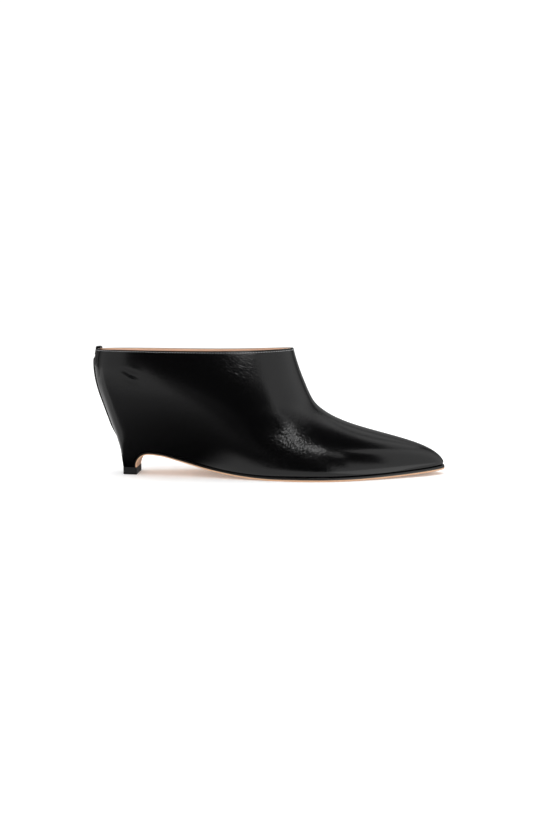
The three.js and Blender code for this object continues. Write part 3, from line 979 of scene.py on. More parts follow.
@dataclass(frozen=True)
class Crease:
    """One soft fold in the leather: a trough with a low ridge on either side, or the reverse."""

    side: Side
    along: float
    up: float
    angle: float
    length: float
    width: float
    depth: float
    curve: float = 0.0
    fade_power: float = 0.8
    ridge: float = 0.38  # the ridges' height, as a share of the trough's depth
    ridge_away: float = 1.9  # how far they lie from the trough, in widths

    def height(self, x: Array, z: Array, last: Last) -> Array:
        """How far the fold lifts the surface at places in the side view.

        Args:
            x: Places along the shoe.
            z: Heights.
            last: The last that its place is a share of.

        Returns:
            The lift in millimetres, negative in a trough.
        """
        turn = math.radians(self.angle)
        dx, dz = x - last.place(self.along), z - self.up * last.collar_height
        run = dx * math.cos(turn) + dz * math.sin(turn)
        off = dz * math.cos(turn) - dx * math.sin(turn)
        share = run / (self.length / 2)
        off = (off - self.curve * (share**2)) / self.width
        fade = smooth(1 - np.abs(share)) ** self.fade_power
        ridges = np.exp(-((off - self.ridge_away) ** 2)) + np.exp(-((off + self.ridge_away) ** 2))
        return -self.depth * (np.exp(-(off**2)) - self.ridge * ridges) * fade


CREASES = (
    # the quarter under the collar
    Crease(Side.OUTER, 0.129, 0.81, -22, 17, 2.2, 0.24, 0.6),
    Crease(Side.OUTER, 0.105, 0.84, -12, 9, 1.6, 0.12),
    Crease(Side.OUTER, 0.028, 0.755, 60, 7, 1.3, 0.22),
    Crease(Side.OUTER, 0.385, 0.86, 14, 30, 3.0, 0.05, 1.5),
    Crease(Side.OUTER, 0.41, 0.80, 24, 26, 2.6, 0.05, 1.2),
    Crease(Side.OUTER, 0.375, 0.93, 6, 22, 2.2, 0.03),
    Crease(Side.OUTER, 0.475, 0.94, 92, 14, 1.6, 0.05),
    Crease(Side.OUTER, 0.497, 0.925, 84, 18, 1.8, 0.06),
    Crease(Side.OUTER, 0.52, 0.90, 78, 22, 2.0, 0.05),
    # the waist and the ball, where the foot bends
    Crease(Side.OUTER, 0.56, 0.33, -12, 56, 8.0, 0.8),
    Crease(Side.OUTER, 0.53, 0.36, 40, 26, 2.6, 0.03, 1.0),
    Crease(Side.OUTER, 0.57, 0.26, 28, 30, 2.4, 0.04, 1.2),
    Crease(Side.OUTER, 0.615, 0.22, 16, 32, 2.2, 0.03, 0.8),
    Crease(Side.OUTER, 0.60, 0.32, 34, 24, 2.0, 0.03),
    Crease(Side.INNER, 0.40, 0.84, 18, 30, 2.8, 0.10, 1.2),
    Crease(Side.INNER, 0.15, 0.80, -20, 20, 2.4, 0.09),
    Crease(Side.INNER, 0.55, 0.34, 38, 26, 2.4, 0.11, 1.0),
    Crease(Side.INNER, 0.60, 0.24, 20, 30, 2.2, 0.11, 0.8),
    Crease(Side.INNER, 0.50, 0.92, 86, 18, 1.8, 0.05),
)


@dataclass
class Upper:
    """The calf upper: one shell lasted over the wedge, with a turned edge at the collar and soft creases."""

    last: Last
    finish: PolishedCalf = PolishedCalf()
    leather: float = 1.0
    edge_round: float = 0.5
    feather_round: float = 0.9
    feather_gap: float = 0.05
    stitch_depth: float = 1.35
    stitch_lift: float = 0.15
    groove_depth: float = 0.04
    groove_width: float = 0.42
    calm_above: float = 2.6
    calm_below: float = 3.0
    seat_steps: int = 14
    sole_steps: int = 236
    rise_steps: int = 88
    edge_steps: int = 15
    fine_reach: float = 3.6
    inner_steps: int = 12

    def shares(self) -> tuple[Array, Array, Array]:
        """Divides the surface.

        Returns:
            Shares along the lift, along the sole and up the wall, the last ones closer under the collar.
        """
        fine = 1 - self.fine_reach / self.last.collar_height
        low, high = np.linspace(0, fine, self.rise_steps), np.linspace(fine, 1, self.edge_steps)[1:]
        seat, sole = crowded(self.seat_steps, SEAT_CROWD, both=False), crowded(self.sole_steps, SOLE_CROWD)
        return seat, sole, np.concatenate([low, high])

    def creased(self, rows: Array, rings: Array) -> Array:
        """Presses the creases and the stitch groove into the outer surface.

        Args:
            rows: The side view's points, with their depth under the collar.
            rings: The surface's points.

        Returns:
            The points, moved along their normals.
        """
        x, z, depth = rows[..., 0], rows[..., 1], rows[..., 2]
        above = z - self.last.sole_top(x)
        calm = smooth((depth - self.stitch_depth) / self.calm_above) * smooth(above / self.calm_below)
        groove = -self.groove_depth * np.exp(-(((depth - self.stitch_depth) / self.groove_width) ** 2))
        lifts = []
        for side in Side:
            lift = sum(c.height(x, z, self.last) for c in CREASES if c.side is side)
            lifts.append(lift * calm + groove)
        middle = (lifts[0] + lifts[1])[:, [0, -1]] / 2
        for lift in lifts:
            lift[:, [0, -1]] = middle
        lift = np.concatenate([lifts[0], lifts[1][:, -2:0:-1]], axis=1)
        return rings + normals_of(rings) * lift[..., None]

    def surface(self) -> tuple[Array, Array]:
        """Lays the outer surface between the feather edge and the turned edge.

        Returns:
            Its side view's rows and its rings.
        """
        seat, sole, up = self.shares()
        rows = self.last.wall_rows(0, self.feather_gap + self.feather_round, self.edge_round, seat, sole, up)
        return rows, self.last.rings(rows, 0)

    def build(self) -> Thing:
        """Makes the shell: the rounded feather edge, the outer face, the turned edge and the inner face.

        Returns:
            The finished piece.
        """
        last = self.last
        seat, sole, _ = self.shares()
        stack = []
        for angle in FEATHER_TURNS:
            inset = self.feather_round * (1 - math.sin(angle))
            extra = self.feather_gap + self.feather_round * (1 - math.cos(angle))
            stack.append(last.edge_ring(inset, extra, self.edge_round, seat, sole, False))
        stack.extend(self.creased(*self.surface()))
        for angle in EDGE_TURNS:
            inset, drop = self.leather / 2 * (1 - math.cos(angle)), self.edge_round * (1 - math.sin(angle))
            stack.append(last.edge_ring(inset, self.feather_gap, drop, seat, sole, True))
        rises = np.linspace(0, 1, self.inner_steps)
        inner = last.wall_rows(self.leather, self.feather_gap, self.edge_round, seat, sole, rises)
        stack.extend(last.rings(inner, self.leather)[-2::-1])
        piece = stacked("upper_shell", stack, self.finish.build(), capped=False)
        for flex in FLEXES:
            flex.mark(piece.data, last)
        return piece

    def stitch_line(self) -> tuple[Array, Array]:
        """Finds the line that the collar's stitches follow.

        Returns:
            The points of a closed loop, and the surface's normals there.
        """
        rows, rings = self.surface()
        row = int(np.argmin(np.abs(rows[:, 1:-1, 2].mean(axis=1) - self.stitch_depth)))
        facing = normals_of(rings)[row]
        return self.creased(rows, rings)[row] + facing * self.stitch_lift, facing


@dataclass
class Lining:
    """The nude lining inside the calf, cut a little lower than the turned edge."""

    last: Last
    finish: PlainFinish = KID_LINING
    gap: float = 0.03
    upper_leather: float = 1.0
    below_edge: float = 0.35
    seat_steps: int = 8
    sole_steps: int = 130
    rise_steps: int = 40
    outer_steps: int = 10

    def build(self) -> Thing:
        """Makes the lining's shell: up its outer face, over its rounded edge and down its inner face.

        Returns:
            The finished piece.
        """
        last = self.last
        seat, sole = crowded(self.seat_steps, SEAT_CROWD, both=False), crowded(self.sole_steps, SOLE_CROWD)
        outside, inside = self.upper_leather + self.gap, last.wall
        radius = (inside - outside) / 2
        drop = self.below_edge + radius
        rows = last.wall_rows(outside, last.clearance, drop, seat, sole, np.linspace(0, 1, self.outer_steps))
        stack = list(last.rings(rows, outside))
        for angle in EDGE_TURNS[:-1]:
            inset, lower = outside + radius * (1 - math.cos(angle)), drop - radius * math.sin(angle)
            stack.append(last.edge_ring(inset, last.clearance, lower, seat, sole, True))
        rows = last.wall_rows(inside, last.clearance, drop, seat, sole, np.linspace(0, 1, self.rise_steps))
        stack.extend(last.rings(rows, inside)[::-1])
        return stacked("lining", stack, self.finish.build(), capped=False)


# Trim at the back


@dataclass
class BackSeam:
    """The raised seam down the centre of the back: two calf edges closed together and stood up."""

    last: Last
    width: float = 1.6
    rise: float = 1.8
    gap: float = 1.6
    tab_drop: float = 4.2
    bottom: float = 20.0
    fillet: float = 0.7
    sink: float = 0.5
    steps: int = 90
    run_in: float = 4.0  # one over the share of its length in which it rises at the bottom
    run_out: float = 30.0  # and the same at the top
    least_rise: float = 0.35
    low_rise: float = 0.4  # under this it lies flat on the upper
    skin: float = 0.02
    # its foot, as shares of the fillet out and across, and its crown: how far short of the full rise, across
    foot: tuple[tuple[float, float], ...] = ((0.0, 1.0), (0.12, 0.5), (0.4, 0.12))
    crown: tuple[tuple[float, float], ...] = ((0.35, 1.0), (0.1, 0.8), (0.0, 0.5))
    crown_dip: float = 0.07
    least_crown: float = 0.5

    def section(self, rise: float) -> list[tuple[float, float]]:
        """The seam's outline at one height, as steps out from the back and across.

        Args:
            rise: How far the seam stands out.

        Returns:
            The outline's points from one side to the other.
        """
        half, flare = self.width / 2, self.fillet
        crown = [(1 - short * half, across * half) for short, across in self.crown]
        crown.append((1 - self.crown_dip, 0.0))
        body = [(out * flare, half + across * flare) for out, across in self.foot]
        body += [(max(self.least_crown, share) * rise, y) for share, y in crown]
        if rise < self.low_rise:
            body = [(min(out, rise + self.skin), y) for out, y in body]
        outline = [(-self.sink, half + flare), *body]
        return outline + [(out, -y) for out, y in reversed(outline[:-1])]

    def build(self, finish: Material) -> Thing:
        """Makes the seam.

        Args:
            finish: The upper's material.

        Returns:
            The finished piece.
        """
        top = self.last.collar_height - self.tab_drop - self.gap
        sections = []
        for t in np.linspace(0, 1, self.steps):
            z = self.bottom + (top - self.bottom) * t
            back = float(self.last.reach("back", z, 0)[0])
            close = float(smooth((1 - t) * self.run_out)) ** 0.5
            rise = self.rise * float(smooth(t * self.run_in))
            rise *= self.least_rise + (1 - self.least_rise) * close
            radius = float(self.last.level["back_round"](z / self.last.collar_height)) * self.last.seat_width
            sections.append([(back - out + y * y / (2 * radius), y, z) for out, y in self.section(rise)])
        return stacked("back_seam", sections, finish)


@dataclass
class HeelPatch:
    """The thin calf patch that strengthens the back under the collar, skived at its edges."""

    last: Last
    thickness: float = 0.45
    skived: float = 0.02
    skive_across: float = 0.06
    skive_up: float = 0.05
    sink: float = 0.25
    low: float = 80.6
    below_collar: float = 0.55
    wrap: float = 4.7
    narrow: float = 0.62
    corner: float = 0.3
    crowd: float = 0.25
    columns: int = 48
    rows: int = 34

    def face(self, lift: Callable[[Array, Array], Array]) -> Array:
        """One face of the patch.

        Args:
            lift: How far outside the last it lies, by its place across and up.

        Returns:
            A grid of points.
        """
        last = self.last
        q, v = np.meshgrid(np.linspace(-1, 1, self.columns + 1), crowded(self.rows, self.crowd))
        z = self.low + (last.collar_height - self.below_collar - self.low) * v
        rounded = np.sqrt(np.clip(1 - (1 - np.clip(v / self.corner, 0, 1)) ** 2, 0, 1))
        width = self.narrow + (1 - self.narrow) * rounded
        inset = -lift(q, v)
        x = last.reach("back", z, inset)[0] + self.wrap * (q * width) ** 2
        half = np.where(q < 0, *(last.half_width(x, z, side, inset) for side in Side))
        half[:, self.columns // 2] = 0
        return np.stack([x, np.sign(q) * half, z], axis=-1)

    def build(self, finish: Material) -> Thing:
        """Makes the patch.

        Args:
            finish: The upper's material.

        Returns:
            The finished piece.
        """

        def outside(q: Array, v: Array) -> Array:
            """The skived outer face."""
            edge = smooth((1 - np.abs(q)) / self.skive_across) * smooth(np.minimum(v, 1 - v) / self.skive_up)
            return self.skived + (self.thickness - self.skived) * edge

        def inside(q: Array, v: Array) -> Array:
            """The face sunk into the upper."""
            return np.full_like(q, -self.sink)

        outer, inner = self.face(outside), self.face(inside)
        rows, columns = outer.shape[:2]
        count = rows * columns
        n = np.arange(count).reshape(rows, columns)
        cells = [(r, c) for r in range(rows - 1) for c in range(columns - 1)]
        faces = [(n[r, c], n[r + 1, c], n[r + 1, c + 1], n[r, c + 1]) for r, c in cells]
        faces += [(a + count, d + count, c + count, b + count) for a, b, c, d in faces]
        rim = [*n[0, :-1], *n[:-1, -1], *n[-1, :0:-1], *n[:0:-1, 0]]
        faces += [(a, b, b + count, a + count) for a, b in zip(rim, rim[1:] + rim[:1])]
        points = np.concatenate([outer.reshape(-1, 3), inner.reshape(-1, 3)])
        return make_piece("heel_patch", points, faces, [finish])


@dataclass
class BackTab:
    """The folded calf tab over the collar's back."""

    last: Last
    width: float = 8.0
    thickness: float = 0.5
    rise: float = 1.9
    drop: float = 4.2
    edge: float = 0.22
    rise_steps: int = 8
    fold_steps: int = 10
    core_overlap: float = 0.1
    core_peak: float = 0.8
    core_steps: int = 9

    def __post_init__(self) -> None:
        """Works out the fold from the sizes."""
        last, self.half = self.last, self.thickness / 2
        self.top = last.collar_height
        self.fold = self.top + self.rise - self.thickness - self.half
        self.arch = self.thickness + self.half / 2
        self.back_radius = float(last.level["back_round"](1.0)) * last.seat_width

    def wall(self, z: float, inner: bool, away: float) -> float:
        """Finds X at a distance outside the upper or inside the lining.

        Args:
            z: The height.
            inner: Whether it is inside the lining.
            away: The distance past the clearance.

        Returns:
            The place along X.
        """
        last = self.last
        inset, sign = (last.wall, 1) if inner else (0, -1)
        return float(last.reach("back", min(z, self.top), inset)[0]) + sign * (last.clearance + away)

    def bend(self, x: float, y: float) -> float:
        """X moved forward as the back of the last rounds."""
        return x + y * y / (2 * self.back_radius)

    def line(self) -> list[tuple[float, float, float, float]]:
        """The tab's middle line in the side view: up the outside, over and down the inside.

        Returns:
            Points with the way square to the tab, from its outer end to its inner one.
        """
        rises = np.linspace(self.top - self.drop + self.edge, self.fold, self.rise_steps)
        path = [(self.wall(z, False, self.half), z) for z in rises]
        low, high = (self.wall(self.top, inner, self.half) for inner in (False, True))
        middle, radius = (low + high) / 2, (high - low) / 2
        for angle in np.pi * np.arange(1, self.fold_steps) / self.fold_steps:
            path.append((middle - radius * math.cos(angle), self.fold + self.arch * math.sin(angle)))
        path += [(self.wall(z, True, self.half), z) for z in rises[::-1]]
        points = np.array(path)
        run = np.gradient(points, axis=0)
        run /= np.linalg.norm(run, axis=1, keepdims=True)
        return [(x, z, -dz, dx) for (x, z), (dx, dz) in zip(points, run)]

    def core(self) -> Array:
        """Lays the stiffener that fills the fold above the collar.

        Returns:
            Its rings across the tab.
        """
        low, high = (self.wall(self.top, inner, 0) for inner in (False, True))
        middle, reach = (low + high) / 2, (high - low) / 2 + self.core_overlap
        foot, peak = self.top + self.last.clearance, self.fold + self.core_peak * self.arch
        section = [(-reach, foot), (-reach, self.fold), (-reach / 2, peak)]
        section += [(-x, z) for x, z in reversed(section)]
        across = np.linspace(-1, 1, self.core_steps) * (self.width / 2 - self.edge)
        return np.array([[(self.bend(middle + x, y), y, z) for x, z in section] for y in across])

    def build(self, finish: Material) -> Thing:
        """Makes the tab, with rounded edges.

        Args:
            finish: The upper's material.

        Returns:
            The finished piece.
        """
        half, thick, soft = self.width / 2, self.half, self.edge
        corner = [(half - soft * (1 - math.sin(a)), thick - soft * (1 - math.cos(a))) for a in CORNER_TURNS]
        right = [*corner, (half, 0.0)] + [(y, -t) for y, t in reversed(corner)]
        outline = right + [(-y, t) for y, t in reversed(right)]
        stack = np.array(
            [
                [(self.bend(x + out_x * t, y), y, z + out_z * t) for y, t in outline]
                for x, z, out_x, out_z in self.line()
            ]
        )
        core = self.core()
        faces = ring_faces(*stack.shape[:2], capped=True)
        faces += ring_faces(*core.shape[:2], start=stack.shape[0] * stack.shape[1], capped=True)
        points = np.concatenate([stack.reshape(-1, 3), core.reshape(-1, 3)])
        return make_piece("back_tab_fold", points, faces, [finish])


# Sole, insole and heel


@dataclass
class Outsole:
    """The leather sole: black ink round its upper edge, natural on the bevel, underside and breast."""

    last: Last
    leather: PlainFinish = SOLE_LEATHER
    ink: PlainFinish = EDGE_INK
    bevel_width: float = 1.0
    margin_start: float = 0.35
    margin_run: float = 0.2
    least_half: float = 0.4
    full_bevel: float = 3.2  # the half width under which the bevel narrows
    steps: int = 260
    outline: tuple[tuple[float, float], ...] = (
        (2.6, 1.0),
        (0.22, 1.0),
        (0.06, 0.965),
        (0.0, 0.9),
        (0.0, 0.5),
        (0.05, 0.43),
        (0.3, 0.22),
        (0.62, 0.07),
        (0.9, 0.01),
        (1.3, 0.0),
    )
    inked: int = 5

    def margin(self, share: float) -> float:
        """How far the sole stands past the upper at a share of the way to the toe."""
        side, toe = self.last.side_margin, self.last.toe_margin
        return side * float(smooth((share - self.margin_start) / self.margin_run)) + (toe - side) * share**4

    def ring(self, share: float) -> list[tuple[float, float, float]]:
        """Lays the sole's outline across.

        Args:
            share: The share of the way to the toe.

        Returns:
            The outline's points.
        """
        last = self.last
        place = np.array([share])
        top_x, top_z = last.over_sole(place, 1, 0)
        centre = float(last.centre(top_x)[0])
        scale = float(last.thickness(share)) / last.sole_thickness * self.bevel_width
        levels = [last.over_sole(place, up, 0) for _, up in self.outline]
        sides = []
        for side in Side:
            half = float(last.half_width(top_x, top_z + last.clearance, side, -self.margin(share))[0])
            half = max(self.least_half, half)
            squeeze = scale * min(1.0, half / self.full_bevel)
            sides.append(
                [
                    (float(x[0]), centre + side.value * (half - inset * squeeze), float(z[0]))
                    for (inset, _), (x, z) in zip(self.outline, levels)
                ]
            )
        return sides[0] + sides[1][::-1]

    def build(self) -> Thing:
        """Makes the sole, with the ink and the natural leather parted along the bevel and at the toe.

        Returns:
            The finished piece.
        """
        stack = np.array([self.ring(share) for share in crowded(self.steps, SOLE_CROWD)])
        rows, count = stack.shape[:2]
        inked = [i < self.inked or count - 2 - self.inked < i for i in range(count)]
        inked[len(self.outline) - 1] = False
        toe = (rows - 1) * count
        edge = [*range(self.inked + 1), *range(count - 1 - self.inked, count)]
        bevel = list(range(self.inked, count - self.inked))
        faces = [*ring_faces(rows, count), tuple(range(count))]
        faces += [tuple(toe + i for i in reversed(part)) for part in (edge, bevel)]
        choice = [0 if ink else 1 for ink in inked] * (rows - 1) + [0, 0, 1]
        return make_piece("outsole_leather", stack, faces, [self.ink.build(), self.leather.build()], choice)


@dataclass
class Insole:
    """The lined insole on the footbed, soft at its edges."""

    last: Last
    gap: float = 0.05
    edge: float = 1.1
    edge_flat: float = 0.6
    back_share: float = 0.002
    toe_room: float = 1.0
    least_half: float = 1.0
    full_edge: float = 4.0  # the half width under which the soft edge narrows
    steps: int = 110

    def ring(
        self, share: float, outline: list[tuple[float, float]]
    ) -> list[tuple[float, float, float]] | None:
        """The insole's outline across.

        Args:
            share: The share of the way along the footbed.
            outline: The soft edge, as steps in from the side and down from the top.

        Returns:
            Its points, or none where the insole would be too narrow or out of the upper.
        """
        last, thick = self.last, self.last.insole_thickness
        inset = last.wall + self.gap
        x, z, cosine, sine = last.footbed.at(np.array([share]))
        low_x, low_z = x + sine * thick, z - cosine * thick
        levels = ((x, z), (low_x, low_z))
        if any(last.reach("back", height, inset)[0][0] > at[0] for at, height in levels):
            return None
        if x[0] > last.reach("front", low_z, inset)[0][0] - self.toe_room:
            return None
        centre = float(last.centre(x)[0])
        halves = [min(last.half_width(at, height, side, inset)[0] for at, height in levels) for side in Side]
        if min(halves) < self.least_half:
            return None
        sides = []
        for side, half in zip(Side, halves):
            soft = min(1.0, half / self.full_edge)
            edge = [(half - step * soft, down * soft) for step, down in outline]
            part = [(half / 2, 0.0), *edge, (half, thick)]
            across = [(centre + side.value * y, down) for y, down in part]
            sides.append([(x[0] + sine[0] * down, y, z[0] - cosine[0] * down) for y, down in across])
        return sides[0] + sides[1][::-1]

    def build(self, finish: Material) -> Thing:
        """Makes the insole.

        Args:
            finish: The lining's material.

        Returns:
            The finished piece.
        """
        edge, flat = self.edge, self.edge_flat
        outline = [(edge * (1 - math.sin(a)), edge * (1 - math.cos(a)) * flat) for a in SOFT_TURNS]
        shares = self.back_share + (1 - self.back_share) * crowded(self.steps, FOOTBED_CROWD)
        rings = [self.ring(share, outline) for share in shares]
        return stacked("insole_sock", [ring for ring in rings if ring], finish)


@dataclass
class TopLift:
    """The rubber top lift under the heel, with its edges just broken."""

    last: Last
    finish: PlainFinish = LIFT_RUBBER
    top_gap: float = 0.04
    edge: float = 0.2
    edge_middle: float = 0.06
    top_edge: float = 0.1
    steps: int = 40

    def ring(self, inset: float, z: float) -> Array:
        """Lays the lift's outline at one height.

        Args:
            inset: How far inside its widest outline.
            z: The height.

        Returns:
            The outline's points.
        """
        last = self.last
        start = float(last.reach("back", last.lift_height, 0)[0])
        x = start + inset + (last.breast_x - start - 2 * inset) * crowded(self.steps, SEAT_CROWD, both=False)
        sides = []
        for side in Side:
            half = last.half_width(x, np.full_like(x, last.lift_height), side, inset)
            half[0] = 0
            sides.append(np.stack([x, side.value * half, np.full_like(x, z)], axis=-1))
        return np.concatenate([sides[0], sides[1][:0:-1]])

    def build(self) -> Thing:
        """Makes the lift.

        Returns:
            The finished piece.
        """
        high = self.last.sole_start - self.top_gap
        levels = (
            (self.edge, 0.0),
            (self.edge_middle, self.edge_middle),
            (0.0, self.edge),
            (0.0, high - self.top_edge),
            (self.top_edge, high),
        )
        stack = np.array([self.ring(inset, z) for inset, z in levels])
        rows, count = stack.shape[:2]
        faces = ring_faces(rows, count)
        top = (rows - 1) * count
        for i in range(1, count // 2):
            a, b, c, d = i, i + 1, (count - i - 1) % count, (count - i) % count
            faces += [(a, d, c, b), (top + a, top + b, top + c, top + d)]
        faces += [(0, count - 1, 1), (top, top + 1, top + count - 1)]
        return make_piece("heel_top_lift", stack, faces, [self.finish.build()])


@dataclass
class WedgeCore:
    """The cork wedge inside the upper, which keeps its solid."""

    finish: PlainFinish = PRESSED_CORK

    def dress(self, node: Thing) -> None:
        """Gives the wedge's solid its material.

        Args:
            node: The wedge's solid.
        """
        material = self.finish.build()
        for place in node.material_slots:
            place.material = material


@dataclass
class CollarStitching:
    """One row of stitches round the collar, laid along a line on the upper."""

    # the thread's light grey colour is a painted highlight on the stitches
    finish: PlainFinish = THREAD_GREY_PAINTED_HIGHLIGHT
    pitch: float = 1.95
    length: float = 1.1
    thread: float = 0.48
    seed: int = 7
    lean: float = 5.0

    def tree(self) -> tuple[Tree, dict[str, str]]:
        """Builds the nodes that lay the stitches.

        Returns:
            The tree, and its inputs' identifiers by name.
        """
        tree = bpy.data.node_groups.new("collar_stitches", "GeometryNodeTree")
        face = tree.interface
        names = {}
        for name, kind in (
            ("Geometry", "Geometry"),
            ("Pitch", "Float"),
            ("Stitch Length", "Float"),
            ("Thread", "Float"),
            ("Lean", "Float"),
            ("Seed", "Int"),
            ("Finish", "Material"),
        ):
            names[name] = face.new_socket(name, in_out="INPUT", socket_type=f"NodeSocket{kind}").identifier
        face.new_socket("Geometry", in_out="OUTPUT", socket_type="NodeSocketGeometry")

        def lay(kind: str, inputs: dict | None = None, **properties: object) -> Socket:
            """Adds a node and gives its first output."""
            return add_node(tree, kind, inputs, **properties).outputs[0]

        given = add_node(tree, "NodeGroupInput").outputs
        curve = lay("GeometryNodeMeshToCurve", {"Mesh": given["Geometry"]})
        spaced = lay("GeometryNodeResampleCurve", {"Curve": curve, "Length": given["Pitch"]}, mode="LENGTH")
        facing = lay("GeometryNodeInputNamedAttribute", {"Name": "facing"}, data_type="FLOAT_VECTOR")
        axes = {"Primary Axis": lay("GeometryNodeInputTangent"), "Secondary Axis": facing}
        turn = lay("FunctionNodeAxesToRotation", axes, primary_axis="X", secondary_axis="Z")
        span = {2: maths(tree, "MULTIPLY", given["Lean"], -1.0), 3: given["Lean"], "Seed": given["Seed"]}
        tilt = add_node(tree, "FunctionNodeRandomValue", span, data_type="FLOAT").outputs[1]
        lean = {"Rotation": turn, "Rotate By": lay("ShaderNodeCombineXYZ", {"Z": tilt})}
        size = {"X": given["Stitch Length"], "Y": given["Thread"], "Z": given["Thread"]}
        row = {
            "Points": spaced,
            "Instance": lay("GeometryNodeMeshUVSphere", {"Segments": 8, "Rings": 6, "Radius": 0.5}),
            "Rotation": lay("FunctionNodeRotateRotation", lean, rotation_space="LOCAL"),
            "Scale": lay("ShaderNodeCombineXYZ", size),
        }
        real = lay("GeometryNodeRealizeInstances", {"Geometry": lay("GeometryNodeInstanceOnPoints", row)})
        shaded = lay("GeometryNodeSetShadeSmooth", {"Geometry": real})
        done = lay("GeometryNodeSetMaterial", {"Geometry": shaded, "Material": given["Finish"]})
        add_node(tree, "NodeGroupOutput", {"Geometry": done})
        return tree, names

    def build(self, line: Array, facing: Array) -> Thing:
        """Lays the stitches and makes them a plain mesh.

        Args:
            line: The points of the closed line that they follow.
            facing: The surface's normal at each point.

        Returns:
            The finished piece.
        """
        guide = bpy.data.meshes.new("collar_line")
        count = len(line)
        guide.from_pydata((line * MM).tolist(), [(i, (i + 1) % count) for i in range(count)], [])
        attribute = guide.attributes.new("facing", "FLOAT_VECTOR", "POINT")
        attribute.data.foreach_set("vector", facing.astype(np.float32).ravel())
        holder = put("collar_line", guide)
        modifier = holder.modifiers.new("stitches", "NODES")
        modifier.node_group, names = self.tree()
        values = {
            "Pitch": self.pitch * MM,
            "Stitch Length": self.length * MM,
            "Thread": self.thread * MM,
            "Lean": math.radians(self.lean),
            "Seed": self.seed,
            "Finish": self.finish.build(),
        }
        for name, value in values.items():
            modifier[names[name]] = value
        mesh = bpy.data.meshes.new_from_object(holder.evaluated_get(bpy.context.evaluated_depsgraph_get()))
        mesh.name = "collar_stitches"
        bpy.data.objects.remove(holder)
        return put("collar_stitches", mesh)


# The studio


@dataclass(frozen=True)
class Card:
    """A glowing board that shows in reflections alone, square to one axis until it is turned about it.

    Each of x, y and z is a place, or the board's two ends. The axis with one place is the one that the board
    is square to. The soft shares are of the board's first and second length, at their low and high ends.
    """

    name: str
    x: float | tuple[float, float]
    y: float | tuple[float, float]
    z: float | tuple[float, float]
    brightness: float
    soft: tuple[float, float, float, float] = (0.0, 0.0, 0.0, 0.0)
    solid: bool = True
    turn: float = 0.0

    def material(self) -> Material:
        """Makes the board's glow, which adds to what lies behind it unless the board is solid.

        Returns:
            The material.
        """
        material, tree = new_material(f"card_{self.name}")
        place = add_node(tree, "ShaderNodeTexCoord").outputs["UV"]
        split = add_node(tree, "ShaderNodeSeparateXYZ", {0: place}).outputs
        strength = self.brightness
        for number, share in enumerate(self.soft):
            axis, high = divmod(number, 2)
            if share:
                step = {0: split[axis], "From Min": float(high), "From Max": 1 - share if high else share}
                fade = add_node(tree, "ShaderNodeMapRange", step, interpolation_type="SMOOTHSTEP").outputs[0]
                strength = maths(tree, "MULTIPLY", strength, fade)
        surface = add_node(tree, "ShaderNodeEmission", {"Strength": strength}).outputs[0]
        if not self.solid:
            clear = add_node(tree, "ShaderNodeBsdfTransparent").outputs[0]
            surface = add_node(tree, "ShaderNodeAddShader", {0: surface, 1: clear}).outputs[0]
        show(tree, surface)
        return material

    def build(self) -> Thing:
        """Makes the board, seen by glossy rays alone.

        Returns:
            The board.
        """
        spans = [(v, v) if isinstance(v, (int, float)) else v for v in (self.x, self.y, self.z)]
        middle = Vector([(low + high) / 2 for low, high in spans])
        first, second = [i for i, (low, high) in enumerate(spans) if low != high]
        corners = []
        for u, v in ((0, 0), (1, 0), (1, 1), (0, 1)):
            corner = Vector((0, 0, 0))
            corner[first] = spans[first][u] - middle[first]
            corner[second] = spans[second][v] - middle[second]
            corners.append(corner)
        card = board(self.name, corners, self.material())
        uv = card.data.uv_layers.new(name="board")
        uv.data.foreach_set("uv", np.array([0, 0, 1, 0, 1, 1, 0, 1], np.float32))
        card.location = middle * MM
        card.rotation_euler[3 - first - second] = math.radians(self.turn)
        card.visible_camera = card.visible_diffuse = card.visible_shadow = False
        card.visible_transmission = card.visible_volume_scatter = False
        return card


def board(name: str, corners: Sequence[Vector], material: Material) -> Thing:
    """Makes a board of one face.

    Args:
        name: The board's name.
        corners: Its corners in millimetres.
        material: Its material.

    Returns:
        The board.
    """
    mesh = bpy.data.meshes.new(name)
    mesh.from_pydata([corner * MM for corner in corners], [], [tuple(range(len(corners)))])
    mesh.materials.append(material)
    return put(name, mesh)


